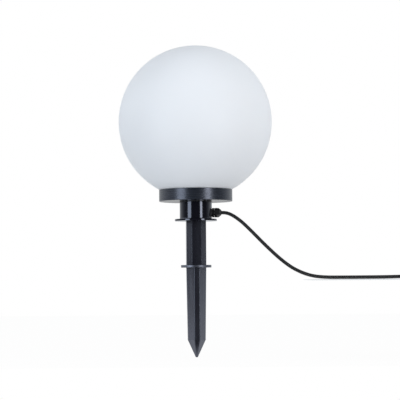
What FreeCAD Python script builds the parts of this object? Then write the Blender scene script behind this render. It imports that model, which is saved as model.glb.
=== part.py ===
import FreeCAD, Part
import Sketcher
import math
import os
import re

from FreeCAD import Placement, Rotation, Vector

# A garden globe light on a ground spike. Millimetres, +Z up along the lamp's axis.
# The origin is on the axis at the level of the ground that the spike is pushed into.
# +X is the cable's side and -Y is the front.

SIZES = [
    # globe
    ("globe_diameter", 300),
    ("globe_wall", 2.5),
    ("neck_diameter", 116),
    ("neck_wall", 3),
    ("globe_thread_pitch", 4),
    ("globe_thread_depth", 1.5),
    ("globe_thread_width", 1.6),
    ("globe_lug_span", 30),
    ("globe_rim_gap", 0.8),
    ("seal_thickness", 2.7),
    ("seal_gap", 0.3),
    ("seal_overhang", 0.2),
    # collar
    ("collar_diameter", 143.2),
    ("collar_height", 22.9),
    ("collar_wall", 3),
    ("collar_floor", 3),
    ("collar_edge", 0.7),
    ("collar_rim_edge", 0.35),
    ("collar_opening", 36),
    ("ring_clearance", 2),
    ("ring_wall", 3),
    ("ring_height", 12),
    ("gasket_thickness", 0.8),
    ("fit_gap", 0.05),
    # socket body with its upper flange
    ("socket_diameter", 63),
    ("socket_wall", 3),
    ("socket_length", 33.7),
    ("flange_diameter", 82.4),
    ("flange_thickness", 4),
    ("flange_edge", 0.6),
    ("socket_root", 1.5),
    ("boss_diameter", 8),
    ("boss_circle", 44),
    ("rib_thickness", 2),
    ("pilot_depth", 14),
    # post and ground spike
    ("post_flats", 38.3),
    ("post_face", 19),
    ("post_length", 85.6),
    ("post_wall", 3),
    ("post_turn", 4.5),
    ("post_edge", 0.8),
    ("post_top_plate", 5),
    ("post_boss_depth", 16),
    ("post_screw_spacing", 25),
    ("spigot_clearance", 0.25),
    ("spigot_length", 40),
    ("spigot_wall", 2.6),
    ("disc_diameter", 59.4),
    ("disc_thickness", 5),
    ("disc_edge", 0.8),
    ("stand_off", 24.1),
    ("spike_length", 140.4),
    ("spike_flats", 38.7),
    ("spike_face", 10.3),
    ("spike_end_flats", 34.4),
    ("spike_tip_length", 33.6),
    ("spike_tip_flats", 4),
    ("spike_tip_face", 1.2),
    ("spike_wall", 3.4),
    ("spike_core_end", 20),
    # screws
    ("screw_shank", 3),
    ("screw_head", 6.6),
    ("screw_head_height", 2.4),
    ("screw_recess", 1.1),
    ("screw_clearance", 0.3),
    ("collar_screw_length", 14),
    ("bracket_screw_length", 9),
    ("post_screw_length", 16),
    ("lock_screw_length", 5.5),
    # lampholder
    ("bracket_length", 56),
    ("bracket_width", 14),
    ("bracket_thickness", 1.5),
    ("bracket_screw_spacing", 46),
    ("bracket_boss_depth", 6),
    ("nipple_diameter", 10),
    ("nipple_bore", 7),
    ("nipple_length", 16),
    ("nipple_nut_flats", 14),
    ("nipple_nut_height", 3),
    ("nipple_clearance", 0.2),
    ("holder_diameter", 40),
    ("holder_wall", 2.5),
    ("holder_height", 56),
    ("holder_base", 3),
    ("insert_height", 9),
    ("insert_level", 17),
    ("insert_clearance", 0.1),
    ("contact_spacing", 22),
    ("rivet_diameter", 2.5),
    ("shell_wall", 0.5),
    ("shell_length", 23),
    ("contact_thickness", 0.8),
    ("contact_radius", 5),
    ("contact_crown", 2.6),
    # bulb
    ("bulb_cap_diameter", 26.2),
    ("bulb_thread_pitch", 3.63),
    ("bulb_cap_length", 21),
    ("bulb_cap_wall", 0.6),
    ("bulb_cap_ridge", 0.9),
    ("bulb_ridge_width", 2.2),
    ("bulb_ridge_start", 4.5),
    ("bulb_cap_mouth", 7),
    ("bulb_cap_slope", 2.5),
    ("bulb_foot_height", 1.4),
    ("bulb_foot_diameter", 9.6),
    ("bulb_insulator_height", 3.4),
    ("bulb_insulator_radius", 9.4),
    ("bulb_insulator_root", 2),
    ("bulb_housing_length", 38),
    ("bulb_housing_wall", 1.6),
    ("bulb_housing_insert", 8),
    ("bulb_diameter", 60),
    ("bulb_glass_wall", 1.2),
    ("bulb_glass_height", 38),
    ("bulb_plate_thickness", 1.6),
    ("bulb_plate_drop", 0.6),
    ("board_thickness", 1.6),
    ("chip_width", 3),
    ("chip_height", 0.7),
    ("chip_ring_inner", 9),
    ("chip_ring_outer", 18),
    ("bulb_clearance", 0.4),
    # cable gland
    ("gland_height", 16.3),
    ("gland_turn", 0),
    ("gland_flats", 16),
    ("gland_thread", 12),
    ("gland_spot_depth", 1.1),
    ("gland_ring_thickness", 1.5),
    ("gland_hex_height", 4),
    ("gland_stem_length", 7),
    ("gland_inner_length", 9),
    ("gland_nut_length", 13.75),
    ("gland_nut_taper", 4.6),
    ("gland_nut_shoulder", 1.8),
    ("gland_nut_drop", 0.75),
    ("gland_nut_mouth", 9.6),
    ("gland_clearance", 0.35),
    ("gland_insert_diameter", 9.6),
    ("gland_insert_length", 6),
    ("gland_washer_thickness", 1),
    ("lock_nut_height", 3),
    ("lock_nut_flats", 15),
    # terminal block and wires
    ("block_length", 16),
    ("block_width", 15),
    ("block_height", 11),
    ("block_pitch", 8),
    ("block_tube", 4.8),
    ("block_tube_wall", 0.8),
    ("block_screw", 2.6),
    ("block_screw_spacing", 9),
    ("wire_diameter", 2.4),
    ("wire_spread", 1.6),
    ("wire_end", 3),
    ("lead_bow", 6),
    ("lead_rise", 9),
    ("lead_bend_low", 17),
    ("lead_bend_high", 10),
    ("lead_fork", 8),
    # cable, coil and plug
    ("cable_diameter", 6.8),
    ("cable_tail_length", 15),
    ("coil_x", 478.8),
    ("coil_gap", 0.6),
    ("coil_middle", 83),
    ("coil_layer_turns", 3.75),
    ("coil_lift", 1.6),
    ("tie_turn", -135),
    ("tie_width", 14),
    ("tie_thickness", 1.3),
    ("tie_clearance", 0.3),
    ("plug_width", 35),
    ("plug_thickness", 26),
    ("plug_length", 36),
    ("plug_nose", 12),
    ("plug_offset", 14),
    ("relief_length", 28),
    ("relief_end", 9.6),
    ("relief_root", 15),
    ("relief_groove", 2.2),
    ("pin_diameter", 4.8),
    ("pin_length", 19),
    ("pin_spacing", 19),
    ("pin_edge", 1.6),
]

# Where things are, worked out from the sizes.
PLACES = [
    ("disc_top", "stand_off + disc_thickness"),
    ("post_top", "disc_top + post_length"),
    ("flange_top", "post_top + flange_thickness"),
    ("socket_floor", "flange_top + 1"),
    ("socket_top", "flange_top + socket_length"),
    ("collar_base", "socket_top + gasket_thickness"),
    ("floor_top", "collar_base + collar_floor"),
    ("collar_top", "collar_base + collar_height"),
    ("globe_radius", "globe_diameter / 2"),
    ("collar_radius", "collar_diameter / 2"),
    ("seat_radius", "globe_radius + globe_rim_gap"),
    ("globe_centre", "collar_top + sqrt(seat_radius ^ 2 - collar_radius ^ 2)"),
    ("seat_inner", "globe_centre - sqrt(seat_radius ^ 2 - (collar_radius - collar_wall) ^ 2)"),
    ("neck_bottom", "floor_top + seal_thickness + 2 * seal_gap"),
    ("neck_radius", "neck_diameter / 2"),
    ("ring_inner", "neck_radius + ring_clearance"),
    ("ring_top", "floor_top + ring_height"),
    ("socket_radius", "socket_diameter / 2"),
    ("socket_bore", "socket_radius - socket_wall"),
    ("plate_top", "floor_top + bracket_thickness"),
    ("nipple_top", "plate_top + holder_base + nipple_nut_height + 1"),
    ("holder_top", "plate_top + holder_height"),
    ("insert_bottom", "plate_top + insert_level"),
    ("insert_top", "insert_bottom + insert_height"),
    ("contact_top", "insert_top + 2 * contact_thickness"),
    ("foot_bottom", "contact_top + seal_gap"),
    ("cap_bottom", "foot_bottom + bulb_foot_height + bulb_insulator_height"),
    ("cap_top", "cap_bottom + bulb_cap_length"),
    ("housing_top", "cap_top + bulb_housing_length"),
    ("cap_radius", "bulb_cap_diameter / 2"),
    ("cap_sleeve", "cap_radius - bulb_cap_ridge"),
    ("housing_neck", "cap_sleeve - bulb_cap_wall - fit_gap"),
    ("housing_bore", "housing_neck - bulb_housing_wall"),
    ("bulb_radius", "bulb_diameter / 2"),
    ("housing_rim", "bulb_radius - 1"),
    ("plate_bottom", "housing_top - bulb_plate_drop - bulb_plate_thickness"),
    ("shell_inner", "cap_radius + bulb_clearance"),
    ("block_level", "socket_floor + block_height * 0.4"),
    ("gland_axis", "post_top + gland_height"),
    ("gland_seat", "socket_radius - gland_spot_depth"),
    ("gland_hex_start", "gland_seat + gland_ring_thickness"),
    ("gland_stem_start", "gland_hex_start + gland_hex_height"),
    ("gland_stem_end", "gland_stem_start + gland_stem_length"),
    ("gland_nut_start", "gland_stem_start + gland_clearance"),
    ("gland_nut_end", "gland_nut_start + gland_nut_length"),
    ("cable_radius", "cable_diameter / 2"),
    ("spigot_flats", "post_flats - 2 * post_wall - 2 * spigot_clearance"),
    ("coil_pitch", "cable_diameter + coil_gap"),
    ("coil_level", "cable_radius + coil_lift"),
    ("coil_outer", "coil_middle / 2 + coil_layer_turns * coil_pitch / 2"),
    ("plug_level", "plug_thickness / 2"),
]

# The cable's route outside the lamp, as chosen points: out of the gland, down in an S to the
# ground and along it to the coil.
CABLE_ROUTE = [
    (56.6, 0.0, 131.0),
    (63.4, 0.0, 129.5),
    (70.8, -0.3, 126.2),
    (80.8, -1.2, 119.7),
    (93.2, -2.8, 109.6),
    (112.6, -5.8, 90.0),
    (135.5, -9.4, 66.0),
    (162.3, -12.4, 40.5),
    (187.6, -14.0, 21.0),
    (216.4, -14.2, 8.2),
    (244.0, -12.4, 3.6),
    (289.0, -8.0, 3.4),
    (335.0, -4.2, 3.4),
    (382.0, -1.4, 3.6),
    (429.0, 0.0, 5.0),
]

doc = FreeCAD.newDocument("garden_globe_light")
sheet = doc.addObject("Spreadsheet::Sheet", "Sizes")
places = doc.addObject("Spreadsheet::Sheet", "Places")
SHEET_OF = {}


def bound(text):
    """An expression with each name read from the sheet that holds it."""
    return re.sub(r"[a-z][a-z_]+", lambda m: SHEET_OF.get(m[0], "") + m[0], text)


def fill_sheets():
    for row, (name, number) in enumerate(SIZES, 1):
        sheet.set(f"A{row}", name)
        sheet.set(f"B{row}", str(number))
        sheet.setAlias(f"B{row}", name)
        SHEET_OF[name] = "Sizes."
    doc.recompute()
    for row, (name, formula) in enumerate(PLACES, 1):
        places.set(f"A{row}", name)
        places.set(f"B{row}", "=" + bound(formula))
        places.setAlias(f"B{row}", name)
        SHEET_OF[name] = "Places."
        doc.recompute()


fill_sheets()


def at(name):
    """The number that a sheet holds under a name."""
    return float(getattr(sheet if SHEET_OF[name] == "Sizes." else places, name))


def bind(item, **expressions):
    for key, text in expressions.items():
        item.setExpression(key.replace("__", "."), bound(text))
    return item


def label(item, name):
    item.Label = name
    NODES.append(item)
    return item


NODES = []


# Sketches and bodies


def new_body(name):
    body = doc.addObject("PartDesign::Body", name)
    return label(body, name)


def plane_of(body, role):
    return next(o for o in body.Origin.OriginFeatures if o.Role == role)


def new_sketch(body, name, role="XZ_Plane"):
    sketch = body.newObject("Sketcher::SketchObject", name)
    sketch.AttachmentSupport = (plane_of(body, role), [""])
    sketch.MapMode = "FlatFace"
    return sketch


def tie_point(sketch, line, x, y):
    """Holds the start of a line at a place given by two expressions."""
    for kind, text in (("DistanceX", x), ("DistanceY", y)):
        where = sketch.getPoint(line, 1)
        now = where.x if kind == "DistanceX" else where.y
        if text == "0":
            axis = -2 if kind == "DistanceX" else -1
            sketch.addConstraint(Sketcher.Constraint("PointOnObject", line, 1, axis))
            continue
        number = sketch.addConstraint(Sketcher.Constraint(kind, -1, 1, line, 1, now))
        sketch.setExpression(f"Constraints[{number}]", bound(text))


def value_of(text):
    """The number that an expression comes to."""
    return float(sheet.evalExpression(bound(text)))


def outline(sketch, points):
    """A closed outline of straight lines through points given as pairs of expressions."""
    where = [Vector(value_of(x), value_of(y), 0) for x, y in points]
    for a, b in zip(where, where[1:] + where[:1]):
        sketch.addGeometry(Part.LineSegment(a, b), False)
    count = len(points)
    for i in range(count):
        sketch.addConstraint(Sketcher.Constraint("Coincident", i, 2, (i + 1) % count, 1))
    for i, (x, y) in enumerate(points):
        tie_point(sketch, i, x, y)
    return sketch


def revolve(body, points, name="turned"):
    """Adds a round solid to a body from its half section, (radius, height) pairs."""
    sketch = outline(new_sketch(body, name + "_section"), points)
    solid = body.newObject("PartDesign::Revolution", name)
    solid.Profile = sketch
    solid.ReferenceAxis = (sketch, ["V_Axis"])
    solid.Angle = 360
    return solid


def turned(name, points):
    body = new_body(name)
    revolve(body, points)
    return body


def tube_section(inner, outer, low, high):
    return [(inner, low), (outer, low), (outer, high), (inner, high)]


def octagon(flats, face, ease=None):
    """The corners of an octagon with four main faces, as pairs of expressions. With ease,
    each corner is cut off that far along both its sides."""
    a, b = f"({flats}) / 2", f"({face}) / 2"
    side = [(a, f"-{b}"), (a, b)]
    if ease:
        step = f"({ease}) / sqrt(2)"
        side = [
            (a, f"({ease}) - {b}"),
            (a, f"{b} - ({ease})"),
            (f"{a} - {step}", f"{b} + {step}"),
            (f"{b} + {step}", f"{a} - {step}"),
        ]
    points = []
    for _ in range(4):
        points += side
        side = [(f"-({y})", x) for x, y in side]
    return points


def octagon_sketch(body, name, flats, face, height, ease=None):
    points = octagon(flats, face, ease)
    sketch = outline(new_sketch(body, name, "XY_Plane"), points)
    bind(sketch, AttachmentOffset__Base__z=height)
    return sketch


# Rounded edges


def round_edges(body, radius, chosen, name):
    """Rounds the edges of a body's last feature for which chosen is true."""
    doc.recompute()
    base = body.Tip
    edges = [f"Edge{i}" for i, edge in enumerate(base.Shape.Edges, 1) if chosen(edge)]
    rounding = body.newObject("PartDesign::Fillet", name)
    rounding.Base = (base, edges)
    return bind(rounding, Radius=radius)


def rims(*spots):
    """Chooses the circles about the axis at places given as (radius, height) pairs."""
    wanted = [(value_of(r), value_of(z)) for r, z in spots]

    def chosen(edge):
        if not isinstance(edge.Curve, Part.Circle):
            return False
        here = (edge.Curve.Radius, edge.Curve.Center.z)
        return any(math.dist(here, spot) < 0.01 for spot in wanted)

    return chosen


# Simple solids


def primitive(kind, name, **expressions):
    return bind(doc.addObject(kind, name), **expressions)


def cylinder(name, radius, height, base="0", x="0", y="0"):
    item = primitive("Part::Cylinder", name, Radius=radius, Height=height)
    return bind(item, Placement__Base__x=x, Placement__Base__y=y, Placement__Base__z=base)


def hexagon(name, flats, height, base="0"):
    item = primitive("Part::Prism", name, Circumradius=f"({flats}) / sqrt(3)", Height=height)
    item.Polygon = 6
    return bind(item, Placement__Base__z=base)


def cut(name, base, tool):
    item = doc.addObject("Part::Cut", name)
    item.Base, item.Tool = base, tool
    return item


def fuse(name, shapes, refine=True):
    item = doc.addObject("Part::MultiFuse", name)
    item.Shapes = shapes
    item.Refine = refine
    return item


def group(name, shapes):
    item = doc.addObject("Part::Compound", name)
    item.Links = shapes
    return item


def ready_shape(name, shape):
    item = doc.addObject("Part::Feature", name)
    item.Shape = shape
    return item


def lay_down(item):
    """Turns a piece made along +Z so that it lies along +X at the gland's height."""
    item.Placement = Placement(Vector(0, 0, at("gland_axis")), Rotation(Vector(0, 1, 0), 90))
    return item


def screw(name, length):
    """A pan-head screw along Z with its head's underside at zero and a cross recess."""
    head = cylinder(name + "_head", "screw_head / 2", "screw_head_height")
    shank = cylinder(name + "_shank", "screw_shank / 2", length, base=f"-({length})")
    solid = fuse(name + "_solid", [head, shank])
    slots = []
    for way in ("Length", "Width"):
        slot = doc.addObject("Part::Box", name + "_slot_" + way.lower())
        other = "Width" if way == "Length" else "Length"
        bind(slot, **{way: "screw_head * 0.62", other: "screw_head * 0.14"})
        bind(slot, Height="screw_recess")
        bind(slot, Placement__Base__x=f"-{slot.Name}.Length / 2")
        bind(slot, Placement__Base__y=f"-{slot.Name}.Width / 2")
        bind(slot, Placement__Base__z="screw_head_height - screw_recess")
        slots.append(slot)
    return cut(name + "_screw", solid, fuse(name + "_cross", slots))


def copies(name, item, spots):
    """Separate solids of one piece, each at a place and turn."""
    doc.recompute()
    shapes = []
    for spot in spots:
        one = item.Shape.copy()
        one.Placement = spot.multiply(one.Placement)
        shapes.append(one)
    return label(ready_shape(name, Part.Compound(shapes)), name)


def around(radius, angles, height):
    spots = []
    for angle in angles:
        turn = math.radians(angle)
        where = Vector(radius * math.cos(turn), radius * math.sin(turn), height)
        spots.append(Placement(where, Rotation()))
    return spots


# Threads


THREAD_ROOT = 0.5


def thread_ridge(radius, depth, width, pitch, turns, start):
    """A helical ridge that stands out of a wall at a radius (or into it, with a negative
    depth), rooted in the wall."""
    helix = Part.makeHelix(pitch, pitch * turns, radius)
    root = radius - math.copysign(THREAD_ROOT, depth)
    tip = radius + depth
    section = [
        Vector(root, 0, -width / 2),
        Vector(tip, 0, -width / 4),
        Vector(tip, 0, width / 4),
        Vector(root, 0, width / 2),
    ]
    wire = Part.makePolygon(section + section[:1])
    ridge = Part.Wire(helix.Edges).makePipeShell([wire], True, True)
    ridge.translate(Vector(0, 0, start))
    return ridge


# Places of the screws, with the gland along +X

BOSS_ANGLES = (60, 180, 300)
COLLAR_SPOTS = [
    (f"boss_circle / 2 * cos({a})", f"boss_circle / 2 * sin({a})") for a in BOSS_ANGLES
]
BRACKET_SPOTS = [("0", "bracket_screw_spacing / 2"), ("0", "-bracket_screw_spacing / 2")]
POST_SPOTS = [("0", "post_screw_spacing / 2"), ("0", "-post_screw_spacing / 2")]


# The globe and what seals it


def make_globe():
    outside = fuse(
        "globe_outside",
        [
            primitive(
                "Part::Sphere",
                "globe_ball",
                Radius="globe_radius",
                Placement__Base__z="globe_centre",
            ),
            cylinder("neck_outside", "neck_radius", "globe_radius / 2", "neck_bottom"),
        ],
    )
    inside = fuse(
        "globe_inside",
        [
            primitive(
                "Part::Sphere",
                "globe_hollow",
                Radius="globe_radius - globe_wall",
                Placement__Base__z="globe_centre",
            ),
            cylinder(
                "neck_inside", "neck_radius - neck_wall", "globe_radius / 2", "neck_bottom - 9"
            ),
        ],
    )
    shell = cut("globe_cut", outside, inside)
    ridge = ready_shape(
        "globe_ridge",
        thread_ridge(
            at("neck_radius"),
            at("globe_thread_depth"),
            at("globe_thread_width"),
            at("globe_thread_pitch"),
            1,
            at("neck_bottom") + at("globe_thread_width") * 0.75,
        ),
    )
    return label(fuse("globe_with_thread", [shell, ridge], refine=False), "globe_shell")


def make_globe_seal():
    low, high = "floor_top + seal_gap", "floor_top + seal_gap + seal_thickness"
    return turned(
        "globe_seal",
        [
            ("neck_radius - neck_wall - 1", low),
            ("neck_radius + seal_overhang", low),
            ("neck_radius + seal_overhang", high),
            ("neck_radius - neck_wall - 0.5", high),
            ("neck_radius - neck_wall - 1", f"{high} - 0.5"),
        ],
    )


# The collar that the globe screws into


def collar_cup():
    body = doc.addObject("PartDesign::Body", "collar_cup")
    revolve(
        body,
        [
            ("collar_opening / 2", "collar_base"),
            ("collar_radius", "collar_base"),
            ("collar_radius", "collar_top"),
            ("collar_radius - collar_wall", "seat_inner"),
            ("collar_radius - collar_wall", "floor_top"),
            ("ring_inner + ring_wall", "floor_top"),
            ("ring_inner + ring_wall", "ring_top"),
            ("ring_inner", "ring_top"),
            ("ring_inner", "floor_top"),
            ("collar_opening / 2", "floor_top"),
        ],
    )
    round_edges(body, "collar_edge", rims(("collar_radius", "collar_base")), "collar_foot")
    round_edges(body, "collar_rim_edge", rims(("collar_radius", "collar_top")), "collar_rim")
    return body


def globe_lugs():
    """Three short pieces of thread inside the ring, half a pitch above the globe's ridge."""
    pitch, span = at("globe_thread_pitch"), at("globe_lug_span")
    ridge_start = at("neck_bottom") + at("globe_thread_width") * 0.75
    lugs = []
    for angle in BOSS_ANGLES:
        level = ridge_start + pitch * (angle / 360 + 0.5)
        lug = thread_ridge(
            at("ring_inner"),
            -at("globe_thread_depth"),
            at("globe_thread_width"),
            pitch,
            span / 360,
            level,
        )
        lug.rotate(Vector(), Vector(0, 0, 1), angle)
        lugs.append(lug)
    return ready_shape("globe_lugs", Part.Compound(lugs))


def hole_row(name, spots, radius, low, length):
    """Plain round holes as one tool."""
    holes = [
        cylinder(f"{name}_{i}", radius, length, low, x, y) for i, (x, y) in enumerate(spots)
    ]
    return fuse(name, holes) if len(holes) > 1 else holes[0]


def turned_spots(spots, turn):
    """The same places after a turn about the axis."""
    return [
        (f"({x}) * cos({turn}) - ({y}) * sin({turn})", f"({x}) * sin({turn}) + ({y}) * cos({turn})")
        for x, y in spots
    ]


def make_collar():
    clear = "screw_shank / 2 + screw_clearance"
    low = "collar_base - bracket_boss_depth"
    through = "bracket_boss_depth + collar_floor"
    screws = hole_row(
        "collar_screw_holes", COLLAR_SPOTS, clear, "collar_base - 1", "collar_floor + 2"
    )
    threads = hole_row(
        "bracket_screw_holes", BRACKET_SPOTS, "screw_shank / 2", f"{low} - 1", f"{through} + 2"
    )
    bosses = [
        cylinder(f"bracket_boss_{i}", "boss_diameter / 2", f"{through} - 1", low, x, y)
        for i, (x, y) in enumerate(BRACKET_SPOTS)
    ]
    solid = fuse("collar_solid", [collar_cup(), globe_lugs(), *bosses])
    return label(cut("collar_cut", solid, fuse("collar_tools", [screws, threads])), "collar")


def make_gasket():
    body = turned(
        "collar_gasket",
        tube_section("socket_bore + 0.4", "socket_radius - 0.6", "socket_top", "collar_base"),
    )
    return body


# The socket body with its flange


def make_socket():
    body = doc.addObject("PartDesign::Body", "socket_shell")
    revolve(
        body,
        [
            ("0", "post_top"),
            ("flange_diameter / 2", "post_top"),
            ("flange_diameter / 2", "flange_top"),
            ("socket_radius", "flange_top"),
            ("socket_radius", "socket_top"),
            ("socket_bore", "socket_top"),
            ("socket_bore", "socket_floor"),
            ("0", "socket_floor"),
        ],
    )
    rim = rims(("flange_diameter / 2", "post_top"), ("flange_diameter / 2", "flange_top"))
    round_edges(body, "flange_edge", rim, "flange_rim")
    round_edges(body, "socket_root", rims(("socket_radius", "flange_top")), "socket_foot")
    bosses = [
        cylinder(
            f"socket_boss_{i}", "boss_diameter / 2", "socket_top - flange_top", "flange_top", x, y
        )
        for i, (x, y) in enumerate(COLLAR_SPOTS)
    ]
    ribs = []
    for i, angle in enumerate(BOSS_ANGLES):
        rib = primitive(
            "Part::Box",
            f"socket_rib_{i}",
            Length="socket_bore - boss_circle / 2 + 0.5",
            Width="rib_thickness",
            Height="socket_top - flange_top",
        )
        turn = Rotation(Vector(0, 0, 1), angle)
        corner = Vector(at("boss_circle") / 2, -at("rib_thickness") / 2, 0)
        rib.Placement = Placement(turn * corner, turn)
        bind(rib, Placement__Base__z="flange_top")
        ribs.append(rib)
    return body, bosses, ribs


def socket_tools():
    pilot = hole_row(
        "socket_pilot_holes",
        COLLAR_SPOTS,
        "screw_shank / 2",
        "socket_top - pilot_depth",
        "pilot_depth + 1",
    )
    post_holes = hole_row(
        "socket_post_holes",
        turned_spots(POST_SPOTS, "post_turn - gland_turn"),
        "screw_shank / 2 + screw_clearance",
        "post_top - 1",
        "flange_thickness + 3",
    )
    hole = cylinder("gland_hole", "gland_thread / 2 + 0.2", "socket_radius + 5")
    spot = cylinder("gland_spot_face", "gland_flats * 0.62", "10", "gland_seat")
    gland = lay_down(fuse("gland_tools", [hole, spot]))
    return [pilot, post_holes, gland]


def make_socket_body():
    body, bosses, ribs = make_socket()
    solid = fuse("socket_solid", [body, *bosses, *ribs])
    return label(cut("socket_cut", solid, fuse("socket_tools", socket_tools())), "socket_body")


# The post and the ground spike


def inset(face, wall):
    """The face of an octagon after all its sides have moved in by a wall."""
    return f"{face} - 2 * ({wall}) * (sqrt(2) - 1)"


def pad(body, sketch, length, name):
    solid = body.newObject("PartDesign::Pad", name)
    solid.Profile = sketch
    return bind(solid, Length=length)


def pocket(body, sketch, length, name):
    solid = body.newObject("PartDesign::Pocket", name)
    solid.Profile = sketch
    solid.Reversed = True
    return bind(solid, Length=length)


def loft(body, kind, sketches, name):
    solid = body.newObject(kind, name)
    solid.Profile = sketches[0]
    solid.Sections = sketches[1:]
    solid.Ruled = True
    return solid


def make_post():
    body = doc.addObject("PartDesign::Body", "post_body")
    outer = octagon_sketch(body, "post_outer", "post_flats", "post_face", "disc_top", "post_edge")
    pad(body, outer, "post_length", "post_pad")
    inner_face = inset("post_face", "post_wall")
    inner = octagon_sketch(
        body, "post_inner", "post_flats - 2 * post_wall", inner_face, "disc_top"
    )
    pocket(body, inner, "post_length - post_top_plate", "post_hollow")
    bosses = [
        cylinder(
            f"post_boss_{i}",
            "boss_diameter / 2",
            "post_boss_depth",
            "post_top - post_boss_depth",
            x,
            y,
        )
        for i, (x, y) in enumerate(POST_SPOTS)
    ]
    pilots = hole_row(
        "post_pilot_holes",
        POST_SPOTS,
        "screw_shank / 2",
        "post_top - post_boss_depth + 2",
        "post_boss_depth",
    )
    side = side_hole("post_lock_hole", "screw_shank / 2 + screw_clearance")
    solid = fuse("post_solid", [body, *bosses])
    label(cut("post_cut", solid, fuse("post_tools", [pilots, side])), "post")


def side_hole(name, radius):
    """A hole through the back wall at half the spigot's height."""
    hole = primitive("Part::Cylinder", name, Radius=radius, Height="post_flats / 2")
    level = at("disc_top") + at("spigot_length") / 2
    hole.Placement = Placement(Vector(0, 5, level), Rotation(Vector(1, 0, 0), -90))
    bind(hole, Placement__Base__z="disc_top + spigot_length / 2")
    return hole


def spike_section(body, name):
    """The section at the shank's lower end, where the point starts."""
    level = "stand_off - spike_length"
    return octagon_sketch(body, name, "spike_end_flats", "spike_face", level, "post_edge")


def make_spike():
    body = doc.addObject("PartDesign::Body", "spike_body")
    top = octagon_sketch(body, "spike_top", "spike_flats", "spike_face", "stand_off", "post_edge")
    shank = [top, spike_section(body, "spike_end")]
    loft(body, "PartDesign::AdditiveLoft", shank, "spike_shank")
    tip = octagon_sketch(
        body,
        "spike_tip",
        "spike_tip_flats",
        "spike_tip_face",
        "stand_off - spike_length - spike_tip_length",
        "post_edge / 2",
    )
    point = [spike_section(body, "spike_end_again"), tip]
    loft(body, "PartDesign::AdditiveLoft", point, "spike_point")
    spigot_face = inset("post_face", "post_wall + spigot_clearance")
    spigot = octagon_sketch(body, "spigot_section", "spigot_flats", spigot_face, "stand_off")
    pad(body, spigot, "disc_thickness + spigot_length", "spigot")
    disc = stop_disc()
    core = make_spike_core()
    side = side_hole("spike_lock_hole", "screw_shank / 2")
    tools = fuse("spike_tools", [core, side])
    label(cut("spike_cut", fuse("spike_solid", [body, disc]), tools), "ground_spike")


def stop_disc():
    body = doc.addObject("PartDesign::Body", "stop_disc")
    radius = "disc_diameter / 2"
    revolve(body, tube_section("0", radius, "stand_off", "disc_top"))
    round_edges(body, "disc_edge", rims((radius, "stand_off"), (radius, "disc_top")), "disc_rim")
    return body


def make_spike_core():
    """The space that the moulding's core leaves, open at the top of the spigot."""
    body = doc.addObject("PartDesign::Body", "spike_core")
    wide = "spigot_flats - 2 * spigot_wall"
    wide_face = inset("post_face", "post_wall + spigot_clearance + spigot_wall")
    top = octagon_sketch(body, "core_top", wide, wide_face, "disc_top + spigot_length + 1")
    middle = octagon_sketch(
        body, "core_middle", "spike_flats - 2 * spike_wall", "spike_face", "stand_off"
    )
    end = octagon_sketch(
        body,
        "core_end",
        "spike_end_flats - 2 * spike_wall - 3",
        "spike_face - 2",
        "stand_off - spike_length + spike_core_end",
    )
    loft(body, "PartDesign::AdditiveLoft", [top, middle], "core_upper")
    again = octagon_sketch(
        body, "core_middle_again", "spike_flats - 2 * spike_wall", "spike_face", "stand_off"
    )
    loft(body, "PartDesign::AdditiveLoft", [again, end], "core_lower")
    return body


# Screws


def make_head_screws():
    circle = at("boss_circle") / 2
    spots = around(circle, BOSS_ANGLES, at("floor_top"))
    copies("collar_screws", screw("collar", "collar_screw_length"), spots)
    spots = around(at("bracket_screw_spacing") / 2, (90, 270), at("plate_top"))
    copies("bracket_screws", screw("bracket", "bracket_screw_length"), spots)


def make_post_screws():
    """Two screws down into the post, and one through its back into the spigot."""
    spots = around(at("post_screw_spacing") / 2, (90, 270), at("socket_floor"))
    copies("post_screws", screw("post", "post_screw_length"), spots)
    where = Vector(0, at("post_flats") / 2, at("disc_top") + at("spigot_length") / 2)
    facing_back = Placement(where, Rotation(Vector(1, 0, 0), -90))
    copies("spike_lock_screw", screw("lock", "lock_screw_length"), [facing_back])


# The lampholder


def make_bracket():
    plate = primitive(
        "Part::Box",
        "bracket_plate",
        Length="bracket_width",
        Width="bracket_length",
        Height="bracket_thickness",
        Placement__Base__x="-bracket_width / 2",
        Placement__Base__y="-bracket_length / 2",
        Placement__Base__z="floor_top",
    )
    low, through = "floor_top - 1", "bracket_thickness + 2"
    hole = cylinder("bracket_hole", "nipple_diameter / 2 + nipple_clearance", through, low)
    clear = "screw_shank / 2 + screw_clearance"
    screws = hole_row("bracket_clear_holes", BRACKET_SPOTS, clear, low, through)
    tools = fuse("bracket_tools", [hole, screws])
    return label(cut("bracket_cut", plate, tools), "lampholder_bracket")


def make_nipple():
    """The threaded tube that holds the lampholder down on its bracket."""
    return turned(
        "holder_nipple",
        tube_section(
            "nipple_bore / 2", "nipple_diameter / 2", "nipple_top - nipple_length", "nipple_top"
        ),
    )


def make_nipple_nuts():
    hole = cylinder("nipple_nut_hole", "nipple_diameter / 2 + fit_gap", "nipple_nut_height + 2", "-1")
    hexes = hexagon("nipple_nut_hex", "nipple_nut_flats", "nipple_nut_height")
    nut = cut("nipple_nut", hexes, hole)
    levels = [at("plate_top") + at("holder_base"), at("floor_top") - at("nipple_nut_height")]
    copies("nipple_nuts", nut, [Placement(Vector(0, 0, z), Rotation()) for z in levels])


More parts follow.
